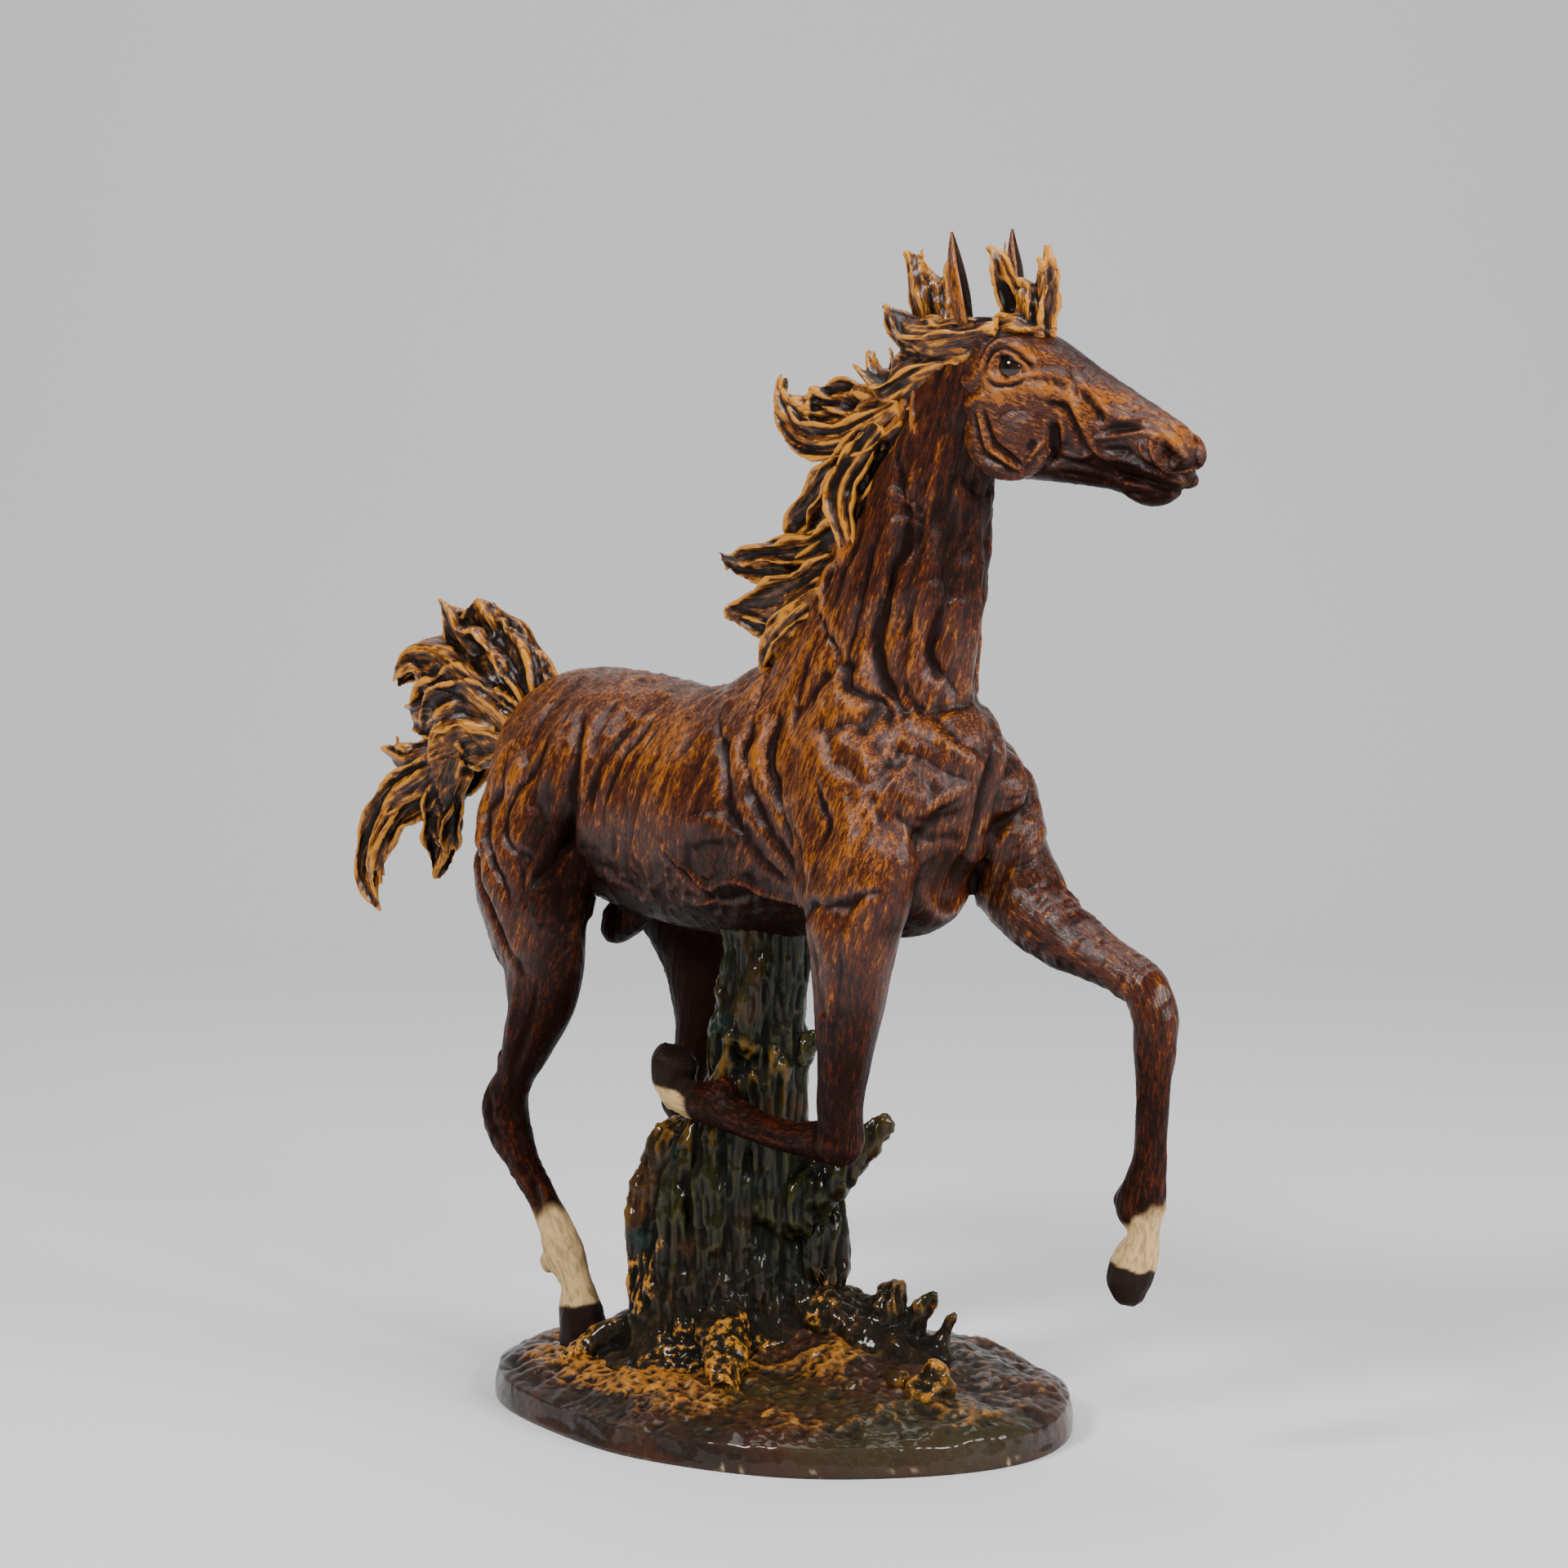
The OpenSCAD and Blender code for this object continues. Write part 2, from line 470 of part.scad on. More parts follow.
module tail_upper_casting() hair(tail_upper_locks)
    tail_place() cylinder(r = dowel_radius + hole_gap, h = 31, center = true, $fn = 24);

module tail_lower_casting() hair(tail_lower_locks) {
    locks(tail_upper_locks);
    tail_place() cylinder(r = dowel_radius + hole_gap, h = 31, center = true, $fn = 24);
}

module foreleg_left() {
    color(dark_bronze) difference() {
        loft_between(fore_left_rows, fore_left_joint, len(fore_left_rows) - 1);
        dowel_hole(fore_left_rows, fore_left_joint);
    }
}

module foreleg_right() {
    color(dark_bronze) one_casting() difference() {
        union() {
            fore_right_solid();
            folded_cannon_solid();
        }
        dowel_hole(fore_right_rows, fore_right_joint);
    }
}

module standing_leg(rows) {
    foot = rows[len(rows) - 1];
    color(dark_bronze) one_casting() difference() {
        loft_between(rows, hind_joint, len(rows) - 1);
        dowel_hole(rows, hind_joint);
        translate([foot[0], foot[1], 0]) cylinder(r = stud_radius + hole_gap, h = stud_top, $fn = 24);
        base_solid();
    }
}

module hindleg_left() standing_leg(hind_left_rows);

module hindleg_right() standing_leg(hind_right_rows);

// Joining pieces inside
module leg_dowels() {
    color(brass) leg_joints() difference() {
        cylinder(r = dowel_radius, h = dowel_length, center = true, $fn = 48);
        for (s = [-1, 1]) translate([0, 0, s * 6]) rotate([90, 0, 0])
            cylinder(r = pin_radius + 0.05, h = 20, center = true, $fn = 24);
    }
}

module leg_cross_pins() {
    color(brass) leg_joints() for (s = [-1, 1]) translate([0, 0, s * 6]) rotate([90, 0, 0])
        cylinder(r = pin_radius, h = 4.6, center = true, $fn = 24);
}

module neck_sleeve() {
    color(brass) one_casting() difference() {
        loft_between(thinner(neck_rows, wall + 0.3), 1, 3, sides = inner_sides);
        // moved along a little, so that no section of the hollow lies in an end face
        translate([0.4, 0, 1]) loft(part_of(thinner(neck_rows, wall + 2.5), 0, 4), sides = inner_sides);
    }
}

module neck_pins() {
    color(brass) at_row(neck_rows, neck_joint) for (s = [-1, 1], a = [0, 180]) rotate([0, 0, a])
        translate([0, 12.6, s * 5]) rotate([-90, 0, 0]) cylinder(r = pin_radius, h = 1.8, $fn = 24);
}

module tail_dowel() {
    color(brass) tail_place() difference() {
        cylinder(r = dowel_radius, h = 30, center = true, $fn = 48);
        translate([0, 0, 8]) rotate([90, 0, 0]) cylinder(r = pin_radius + 0.05, h = 20, center = true, $fn = 24);
    }
}

module tail_pin() {
    color(brass) tail_place() translate([0, 0, 8]) rotate([90, 0, 0])
        cylinder(r = pin_radius, h = 4.6, center = true, $fn = 24);
}

// Fasteners from under the base
module hex_nut(r, h, flats) {
    difference() {
        cylinder(r = flats / 2 / cos(30), h = h, $fn = 6);
        translate([0, 0, -1]) cylinder(r = r, h = h + 2, $fn = 48);
    }
}

module ring(r_out, r_in, h) {
    difference() {
        cylinder(r = r_out, h = h, $fn = 48);
        translate([0, 0, -1]) cylinder(r = r_in, h = h + 2, $fn = 48);
    }
}

function roof(x, y) = min([for (d = [[0, 0], [1, 0], [-1, 0], [0, 1], [0, -1]])
    under(x + d.x * 7, y + d.y * 7)]) - 0.6;

module tie_rod() {
    color(steel) translate([trunk_axis.x, 0, rod_bottom]) cylinder(r = rod_radius, h = rod_top - rod_bottom, $fn = 48);
}

module tie_rod_washer() {
    color(steel) translate([trunk_axis.x, 0, roof(trunk_axis.x, 0) - washer_height])
        ring(washer_radius, rod_radius + hole_gap, washer_height);
}

module tie_rod_nut() {
    color(steel) translate([trunk_axis.x, 0, roof(trunk_axis.x, 0) - washer_height - nut_height - 0.05])
        hex_nut(rod_radius + thread_gap, nut_height, nut_across);
}

module belly_washer() {
    color(steel) translate([trunk_axis.x, 0, belly_z + wall + 2.2]) ring(washer_radius, rod_radius + hole_gap, washer_height);
}

module belly_nut() {
    color(steel) translate([trunk_axis.x, 0, belly_z + wall + washer_height + 2.25])
        hex_nut(rod_radius + thread_gap, nut_height, nut_across);
}

module hoof_studs() {
    color(steel) for (p = hoof_spots) translate([p.x, p.y, stud_bottom])
        cylinder(r = stud_radius, h = stud_top - stud_bottom - 1, $fn = 48);
}

module hoof_washers() {
    color(steel) for (p = hoof_spots) translate([p.x, p.y, roof(p.x, p.y) - 1]) ring(5, stud_radius + hole_gap, 1);
}

module hoof_nuts() {
    color(steel) for (p = hoof_spots) translate([p.x, p.y, roof(p.x, p.y) - 1 - 3.05])
        hex_nut(stud_radius + thread_gap, 3, 7);
}

module trunk_screws() {
    color(steel) for (p = trunk_screw_spots) translate([p.x, p.y, roof(p.x, p.y)]) {
        translate([0, 0, -2.5]) cylinder(r = 4, h = 2.5, $fn = 48);
        cylinder(r = stud_radius, h = 15, $fn = 48);
    }
}

base_casting();
root_casting();
rock_casting();
trunk_casting();
branch_casting();
torso_casting();
neck_casting();
head_casting();
ear(ear_left_rows);  // ear_left
ear(ear_right_rows);  // ear_right
forelock_casting();
poll_tuft_casting();
mane_crest_casting();
mane_upper_casting();
mane_middle_casting();
mane_lower_casting();
tail_upper_casting();
tail_lower_casting();
foreleg_left();
foreleg_right();
hindleg_left();
hindleg_right();
leg_dowels();
leg_cross_pins();
neck_sleeve();
neck_pins();
tail_dowel();
tail_pin();
tie_rod();
tie_rod_nut();
tie_rod_washer();
belly_nut();
belly_washer();
hoof_studs();
hoof_nuts();
hoof_washers();
trunk_screws();
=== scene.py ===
"""Visual model of a cold-painted bronze stallion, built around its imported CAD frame.

The horse, the tree trunk and the roots are first blocked out from lofted sections and ellipsoids, fused
into one skin, relaxed, and then worked with strokes: each stroke raises or cuts the skin along a short
path. The skin is then parted at the casting joints. Hair locks, ears, eyes and the ground are surfaces
of two parameters. All lengths are in millimetres until a mesh is written.
"""
import json
import math

import bpy
import numpy as np
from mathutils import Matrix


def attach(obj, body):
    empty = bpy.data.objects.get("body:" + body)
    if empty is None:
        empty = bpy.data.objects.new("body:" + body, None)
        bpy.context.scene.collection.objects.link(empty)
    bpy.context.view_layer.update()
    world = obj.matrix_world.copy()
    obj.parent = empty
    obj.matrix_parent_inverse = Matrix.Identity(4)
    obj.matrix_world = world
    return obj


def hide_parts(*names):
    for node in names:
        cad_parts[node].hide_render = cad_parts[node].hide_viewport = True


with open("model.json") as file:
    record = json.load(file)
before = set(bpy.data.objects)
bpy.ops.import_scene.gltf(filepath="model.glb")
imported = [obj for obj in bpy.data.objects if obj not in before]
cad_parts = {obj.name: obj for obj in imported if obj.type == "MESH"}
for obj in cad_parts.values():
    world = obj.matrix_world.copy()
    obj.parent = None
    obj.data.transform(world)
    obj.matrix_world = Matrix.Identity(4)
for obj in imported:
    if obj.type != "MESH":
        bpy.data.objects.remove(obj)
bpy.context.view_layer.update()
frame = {"nodes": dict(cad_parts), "record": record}

bl_info = {
    "name": "Cold-painted bronze stallion",
    "version": (1, 0, 0),
    "blender": (4, 5, 0),
    "location": "3D View > Sidebar > Stallion",
    "description": "Builds the stallion, its hair, tree trunk and ground around the packed CAD frame",
    "category": "Object",
}

MM = 0.001
BODY = "root"
HEAD_TURN = math.radians(10)
HEAD_START = np.array([80.0, 1.0, 0.0])
HEAD_AHEAD = np.array([math.cos(HEAD_TURN), math.sin(HEAD_TURN), 0.0])
HEAD_LEFT = np.array([-math.sin(HEAD_TURN), math.cos(HEAD_TURN), 0.0])
ACROSS = np.array([0.0, 1.0, 0.0])

# ---------------------------------------------------------------- sections
# Rows are [x, y, z, side, front, back]: the middle of a section, its half width and its two half depths.

TORSO = [
    [-118, 0, 188, 8, 12, 13], [-112.5, 0, 188, 19, 22.5, 25], [-101, 0, 190, 25, 31, 33],
    [-86, 0, 192, 28, 34.5, 36], [-68, 0, 193, 28.5, 34, 40], [-48, 0, 190, 27, 35.5, 40.5],
    [-30, 0, 188, 29, 36.5, 40], [-10, 0, 189, 29.5, 39, 40.5], [8, 0, 192, 28.5, 44, 41],
    [26, 0, 195, 27, 44, 42], [44, 0, 197, 27, 40, 43], [58, 1, 198, 26, 34, 41],
    [70, 3, 198, 22, 28, 34], [79, 5, 196, 11, 16, 18],
]
NECK = [
    [24, 0, 206, 25, 34, 48], [34, 0, 228, 21.5, 30, 42], [42.5, 0, 247, 19, 26, 36],
    [51, 0, 267, 17, 23.5, 29.5], [59, 0.3, 287, 15, 20, 22.5], [67, 0.7, 305, 14, 17, 18],
    [75, 1.2, 321, 12.5, 14, 15], [80, 1.6, 331, 11, 10, 11],
]
NECK_JOINT = 2
HIND_RIGHT = [
    [-86, -14, 196, 12, 20, 20], [-92, -17, 178, 14.5, 27, 24], [-94, -19, 160, 14.5, 27, 22],
    [-91, -20.5, 146, 12.5, 22, 19], [-87, -21, 133, 10.5, 16, 16], [-89, -21.5, 119, 9, 12, 12.5],
    [-94, -22, 107, 7, 9, 9], [-100, -22, 96, 5.5, 6.5, 6.5], [-103.5, -22, 87, 6, 7.5, 10],
    [-102, -22, 79, 6.2, 7.5, 9], [-96, -22, 69, 5, 6, 6], [-88, -22, 60, 4.5, 5, 5.5],
    [-81, -22, 51, 5, 5.5, 6], [-76, -22, 42, 6, 6.5, 7.5], [-71.5, -22, 34, 5, 5, 5],
    [-69.5, -22, 27, 6.8, 6.8, 6.8], [-68, -22, 20, 7.4, 8, 7.4], [-67, -22, 13, 8, 8.8, 8],
]
HIND_LEFT = [
    [-84, 14, 196, 12, 20, 20], [-78, 17, 178, 14.5, 27, 24], [-70, 19, 160, 14, 25, 20],
    [-63, 20, 146, 12, 20, 16], [-58, 20.5, 133, 10, 15, 14], [-57, 21, 120, 8.5, 11.5, 12],
    [-60, 21.5, 108, 7, 9, 9], [-64, 22, 97, 5.8, 6.5, 7], [-66, 22, 88, 6, 7.5, 8.5],
    [-64, 22.5, 79, 5.8, 7, 7], [-61, 23, 69, 4.8, 5.5, 5.5], [-58, 24, 59, 4.5, 5, 5],
    [-55.5, 25, 50, 5, 5.5, 6], [-54, 25.5, 41, 6, 6.5, 7.5], [-50.5, 26, 33, 5, 5, 5],
    [-48, 26, 26, 6.8, 6.8, 6.8], [-46.5, 26, 20, 7.4, 8, 7.4], [-45.5, 26, 13, 8, 8.8, 8],
]
HIND_JOINT = 4
FORE_RIGHT = [
    [20, -14, 222, 6, 16, 14], [34, -20, 206, 8.5, 22, 20], [48, -22, 190, 10, 24, 24],
    [55, -24, 175, 11, 20, 22], [54, -25, 161, 11.5, 16, 17], [53, -25, 150, 10.5, 13.5, 14],
    [52, -25, 140, 9.5, 12, 12], [50.5, -25, 126, 8.3, 9.5, 9.5], [48.5, -24.5, 112, 7, 7.5, 7.5],
    [47.5, -24, 103, 6.8, 7, 7], [47.5, -24, 95, 6.8, 7.5, 6.5], [46.5, -23.8, 89.5, 5, 5, 4.5],
]
FORE_RIGHT_JOINT = 5
FOLDED_CANNON = [
    [46, -24, 95.5, 6, 6, 5.5], [40, -23.3, 95, 6.3, 6.5, 6.3], [31, -22, 94, 5.2, 5.2, 5.2],
    [20, -21, 93.5, 4.8, 4.8, 5], [8, -20, 94.5, 4.8, 4.8, 5], [-3, -19.3, 96.5, 5.3, 5.5, 5.8],
    [-10, -19, 98.5, 6, 7, 7.5], [-16, -18.7, 98.5, 5.6, 6.2, 6.4], [-22, -18.4, 98.5, 5.4, 5.6, 5.6],
    [-27, -18.2, 100, 6.2, 6, 6.2], [-29.6, -18, 103.2, 6.8, 7, 7], [-30, -18, 106, 7, 7.4, 7.2],
    [-29.4, -18, 109.8, 7, 7.8, 7.6], [-28.4, -18, 112.6, 5.2, 6, 5.6],
]
FORE_LEFT = [
    [24, 14, 222, 6, 16, 14], [46, 19, 208, 8.5, 20, 20], [63, 23, 193, 10.5, 18, 22],
    [70, 24, 178, 11, 14, 18], [81, 24, 164.5, 10.5, 12, 13], [94, 24, 157, 9.5, 10, 10.5],
    [108, 24, 151.5, 8, 7.5, 7.5], [117, 24, 148, 7, 7, 7], [124, 24, 144, 7, 7.5, 6.5],
    [127.5, 24, 137, 7, 7, 6.5], [127.5, 24, 129, 6.2, 6.8, 6.2], [127.5, 24, 120, 5.3, 5.5, 5.5],
    [127, 24, 108, 4.8, 4.8, 5], [126.5, 24, 96, 4.8, 4.8, 5.4], [125, 24, 87, 5.5, 6, 7.5],
    [123.4, 24, 80, 6, 8, 9], [124.4, 24, 72.5, 4.6, 4.6, 4.8], [122.6, 24, 67, 6.2, 6, 6.4],
    [121, 24, 63.5, 6.9, 6.4, 7], [119.5, 24, 60, 7.2, 6.8, 7], [119.2, 24, 57, 6.8, 6.4, 6.6],
    [119.6, 24, 54, 5.3, 5, 5.2], [120.6, 24, 51.4, 3.2, 2.8, 3], [121, 24, 50.3, 1.2, 1, 1],
]
FORE_LEFT_JOINT = 4
SHEATH = [
    [-50, 0, 162, 6, 7, 7], [-60, 0, 156, 6, 7, 7], [-69, 0, 149, 5.5, 6, 6], [-76, 0, 144.5, 5, 5.2, 5.2],
    [-80, 0, 143, 2.5, 3, 3],
]
# Head rows are [forward, z, side, up, down] in the plane of the turned head
SKULL = [
    [-7, 322, 7, 11, 14], [-2, 323, 10.5, 14.5, 24], [4, 323.5, 13, 14.5, 30], [10, 323.5, 13.8, 13.2, 32.5],
    [17, 322.5, 13.5, 12, 31.5], [24, 319, 11.5, 12, 28], [32, 314.5, 9.5, 11.5, 24],
    [40, 309.5, 8.2, 12, 19.5],
    [48, 305, 7.6, 12, 15.5], [56, 301.5, 7.8, 11.3, 11.5], [63, 299.5, 8, 9.5, 8],
    [66.5, 298.5, 6.8, 7.5, 6],
    [69, 298, 3.5, 4, 3.5],
]
JAW = [
    [12, 302, 9, 8, 11], [24, 298, 7.2, 7, 7], [36, 295.5, 5.8, 5, 5.3], [47, 293, 5.2, 4, 4.3],
    [55, 290.5, 5.6, 4, 5.3], [60, 289.5, 5, 3.4, 4.4], [64.5, 289.8, 3.2, 2, 2.2],
]


def as_array(rows):
    return np.array(rows, float)


def head_point(forward, left, z):
    return HEAD_START + HEAD_AHEAD * forward + HEAD_LEFT * left + np.array([0, 0, z])


def head_rows(rows):
    """Turns head rows into ordinary rows."""
    return [list(head_point(r[0], 0, r[1])) + list(r[2:]) for r in rows]


def smooth_rows(rows, steps):
    """A Catmull-Rom curve through the rows, with steps stretches between each pair."""
    rows = as_array(rows)
    last = len(rows) - 1
    t = np.arange(last * steps + 1) / steps
    i = np.minimum(t.astype(int), last - 1)
    t = (t - i)[:, None]
    a, b, c, d = (rows[np.clip(i + k, 0, last)] for k in (-1, 0, 1, 2))
    return 0.5 * (2 * b + (c - a) * t + (2 * a - 5 * b + 4 * c - d) * t ** 2
                  + (3 * b - a - 3 * c + d) * t ** 3)


def unit(v):
    return v / np.maximum(np.linalg.norm(v, axis=-1, keepdims=True), 1e-9)


def section_frames(rows, side):
    """Heading, side and front vectors at each row."""
    middle = rows[:, :3]
    ahead = unit(np.vstack([middle[1:2] - middle[:1], middle[2:] - middle[:-2], middle[-1:] - middle[-2:-1]]))
    side = np.broadcast_to(side, ahead.shape)
    side = unit(side - (side * ahead).sum(1, keepdims=True) * ahead)
    return ahead, side, np.cross(ahead, side)


def tube(rows, side=ACROSS, sides=32, steps=6):
    """Rings of ovals along a curve: middle + side * cos(a) + front * sin(a), closed by a fan at each end."""
    rows = smooth_rows(rows, steps)
    _, s, f = section_frames(rows, side)
    a = np.arange(sides) / sides * 2 * math.pi
    depth = np.where(np.sin(a)[None] > 0, rows[:, 4:5], rows[:, 5:6])
    rings = (rows[:, None, :3] + s[:, None] * (rows[:, 3:4] * np.cos(a))[..., None]
             + f[:, None] * (depth * np.sin(a))[..., None])
    return closed_rings(rings)


def closed_rings(rings):
    """Points, quads and end triangles of a stack of rings of equal count."""
    count, sides = rings.shape[:2]
    index = np.arange(count * sides).reshape(count, sides)
    nxt = np.roll(index, -1, axis=1)
    quads = np.stack([index[:-1], index[1:], nxt[1:], nxt[:-1]], -1).reshape(-1, 4)
    points = np.vstack([rings.reshape(-1, 3), rings[0].mean(0), rings[-1].mean(0)])
    start, end = count * sides, count * sides + 1
    first = np.stack([np.full(sides, start), index[0], nxt[0]], -1)
    final = np.stack([np.full(sides, end), nxt[-1], index[-1]], -1)
    return points, quads, np.vstack([first, final])


def ellipsoid(middle, radii, axes=None, sides=24):
    """A ball stretched by radii along three axes: the rows of axes, or X, Y and Z."""
    lat = np.linspace(-math.pi / 2, math.pi / 2, sides // 2 + 1)[1:-1]
    lon = np.arange(sides) / sides * 2 * math.pi
    ball = np.stack([np.cos(lat)[:, None] * np.cos(lon), np.cos(lat)[:, None] * np.sin(lon),
                     np.repeat(np.sin(lat)[:, None], sides, 1)], -1) * radii
    poles = np.array([[0, 0, -1.0], [0, 0, 1.0]]) * radii
    points, quads, ends = closed_rings(ball)
    points[-2:] = poles
    if axes is not None:
        points = points @ np.asarray(axes, float)
    return points + middle, quads[:, ::-1], ends[:, ::-1]


def tilted(degrees):
    """Axes turned nose-down by an angle about the horse's own side axis."""
    a = math.radians(degrees)
    return [[math.cos(a), 0, -math.sin(a)], [0, 1, 0], [math.sin(a), 0, math.cos(a)]]


def head_axes(degrees):
    a = math.radians(degrees)
    up = np.array([0, 0, 1.0])
    return [HEAD_AHEAD * math.cos(a) - up * math.sin(a), HEAD_LEFT,
            HEAD_AHEAD * math.sin(a) + up * math.cos(a)]


def joined(parts):
    points, quads, ends, base = [], [], [], 0
    for p, q, t in parts:
        points.append(p)
        quads.append(q + base)
        ends.append(t + base)
        base += len(p)
    return np.vstack(points), np.vstack(quads), np.vstack(ends)


# ---------------------------------------------------------------- noise

def lattice(i, j, k, seed):
    """A repeatable random number in 0 to 1 for each whole-numbered point of space."""
    h = (i * 374761393 + j * 668265263 + k * 2147483647 + seed * 1274126177) & 0xFFFFFFFF
    h = ((h ^ (h >> 13)) * 1274126177) & 0xFFFFFFFF
    h = ((h ^ (h >> 16)) * 2246822519) & 0xFFFFFFFF
    return ((h ^ (h >> 15)) & 0xFFFFFF) / float(0xFFFFFF)


def noise(points, size, seed=0):
    """Smooth value noise in -1 to 1 with features about as large as size."""
    p = points / size
    cell = np.floor(p).astype(np.int64)
    f = p - cell
    f = f * f * f * (f * (f * 6 - 15) + 10)
    total = 0
    for corner in range(8):
        o = np.array([corner & 1, corner >> 1 & 1, corner >> 2 & 1])
        w = np.prod(np.where(o == 1, f, 1 - f), axis=1)
        c = cell + o
        total = total + w * lattice(c[:, 0], c[:, 1], c[:, 2], seed)
    return total * 2 - 1


def layered(points, size, seed=0, layers=3):
    """Noise summed over layers, each half the size and half the height of the one before."""
    return sum(noise(points, size / 2 ** k, seed + k) / 2 ** k for k in range(layers))


def ease(x, low, high):
    """0 below low, 1 above high and a smooth step between."""
    t = np.clip((x - low) / (high - low), 0, 1)
    return t * t * (3 - 2 * t)


# ---------------------------------------------------------------- skins

class Skin:
    """A closed surface of quads that can be relaxed, pushed along its normals and parted."""

    def __init__(self, points, quads):
        self.points, self.quads = points, quads
        self.tail = quads.ravel()
        self.head = np.roll(quads, -1, axis=1).ravel()
        self.degree = np.maximum(np.bincount(self.tail, minlength=len(points)), 1)

    def around(self, values):
        """The mean of each point's neighbours."""
        if values.ndim == 1:
            return np.bincount(self.tail, values[self.head], len(self.points)) / self.degree
        return np.stack([self.around(values[:, k]) for k in range(values.shape[1])], -1)

    def relax(self, rounds, keep_volume=True):
        """Moves each point towards its neighbours' mean, and back a little so that nothing shrinks."""
        for _ in range(rounds):
            self.points = self.points + 0.5 * (self.around(self.points) - self.points)
            if keep_volume:
                self.points = self.points - 0.52 * (self.around(self.points) - self.points)

    def normals(self):
        p = self.points[self.quads]
        face = np.cross(p[:, 2] - p[:, 0], p[:, 3] - p[:, 1])
        total = [np.bincount(self.tail, np.repeat(face[:, k], 4), len(self.points)) for k in range(3)]
        return unit(np.stack(total, -1))

    def push(self, height):
        self.points = self.points + self.normals() * height[:, None]

    def relief(self, rounds, scale):
        """How far each point stands proud of its relaxed surroundings, from -1 in hollows to 1 on ridges."""
        soft = self.points
        for _ in range(rounds):
            soft = soft + 0.7 * (self.around(soft) - soft)
        return np.tanh(((self.points - soft) * self.normals()).sum(1) / scale)


def fused(parts, voxel):
    """Fills closed skins with small cubes and skins the filled space, which joins them into one."""
    points, quads, ends = joined(parts)
    block = mesh_object("block", points, quads, ends, scale=1.0)
    remesh = block.modifiers.new("remesh", "REMESH")
    remesh.mode = "VOXEL"
    remesh.voxel_size = voxel
    bpy.context.view_layer.update()
    result = bpy.data.meshes.new_from_object(block.evaluated_get(bpy.context.evaluated_depsgraph_get()))
    p = np.empty(len(result.vertices) * 3)
    result.vertices.foreach_get("co", p)
    q = np.empty(len(result.loops), np.int64)
    result.loops.foreach_get("vertex_index", q)
    bpy.data.objects.remove(block)
    bpy.data.meshes.remove(result)
    return Skin(p.reshape(-1, 3), q.reshape(-1, 4))


def path_distance(points, path):
    """Distance from each point to a chain of straight stretches, and the share of the chain passed."""
    path = np.asarray(path, float)
    best = np.full(len(points), 1e9)
    share = np.zeros(len(points))
    lengths = np.linalg.norm(np.diff(path, axis=0), axis=1)
    done, whole = 0.0, max(lengths.sum(), 1e-6)
    for a, b, length in zip(path[:-1], path[1:], lengths):
        t = np.clip(((points - a) @ (b - a)) / max(length ** 2, 1e-9), 0, 1)
        d = np.linalg.norm(points - a - t[:, None] * (b - a), axis=1)
        nearer = d < best
        best[nearer] = d[nearer]
        share[nearer] = (done + t[nearer] * length) / whole
        done += length
    return best, share


def curved(path, steps=5):
    return smooth_rows(path, steps) if len(path) > 2 else as_array(path)


def head_plane(points):
    """Points as (ahead, z) in the plane of the turned head."""
    return np.stack([(points - HEAD_START) @ HEAD_AHEAD, points[:, 2]], -1)


# Each view looks at the skin from one side: which coordinates it draws in, and which way the skin faces
VIEWS = {
    "right": (lambda p: p[:, [0, 2]], lambda n: -n[:, 1]),
    "left": (lambda p: p[:, [0, 2]], lambda n: n[:, 1]),
    "front": (lambda p: p[:, [1, 2]], lambda n: n[:, 0]),
    "head right": (head_plane, lambda n: -(n @ HEAD_LEFT)),
    "head left": (head_plane, lambda n: n @ HEAD_LEFT),
}


def strokes(skin, view, marks, box=None, wobble=1.3):
    """Works the skin with marks (width, height, path) drawn as seen from one side.

    The skin rises by height * exp(-(distance / width) ** 2), less at the ends of the path and where the
    skin turns away from the view. A negative height cuts a groove. The wobble bends every mark a little.
    """
    flat, facing = VIEWS[view]
    bend = np.stack([noise(skin.points, 8.0, 50 + k) for k in range(3)], -1) * wobble
    place = flat(skin.points + bend)
    press = 0.9 + 0.35 * noise(skin.points, 11.0, 55)
    turn = ease(facing(skin.normals()), 0.02, 0.35)
    usable = turn > 0
    if box is not None:
        usable &= ((skin.points > box[0]) & (skin.points < box[1])).all(1)
    total = np.zeros(len(place))
    for width, height, path in marks:
        path = curved(path)
        reach = 3 * width
        near = usable & (place > path.min(0) - reach).all(1) & (place < path.max(0) + reach).all(1)
        if not near.any():
            continue
        d, t = path_distance(place[near], path)
        fade = 1.0 if len(path) == 1 else np.sqrt(np.clip(np.minimum(t, 1 - t) * 4 + 0.05, 0, 1))
        total[near] += height * fade * np.exp(-(d / (width * (0.55 + 0.45 * fade))) ** 2)
    skin.push(total * turn * press)


def chased(points, size, seed):
    """Ridged noise in -1 to 1: sharp crests between rounded hollows, like tool marks in wax."""
    return 1 - 2 * np.abs(noise(points, size, seed)) ** 0.8 * 1.25


# ---------------------------------------------------------------- meshes

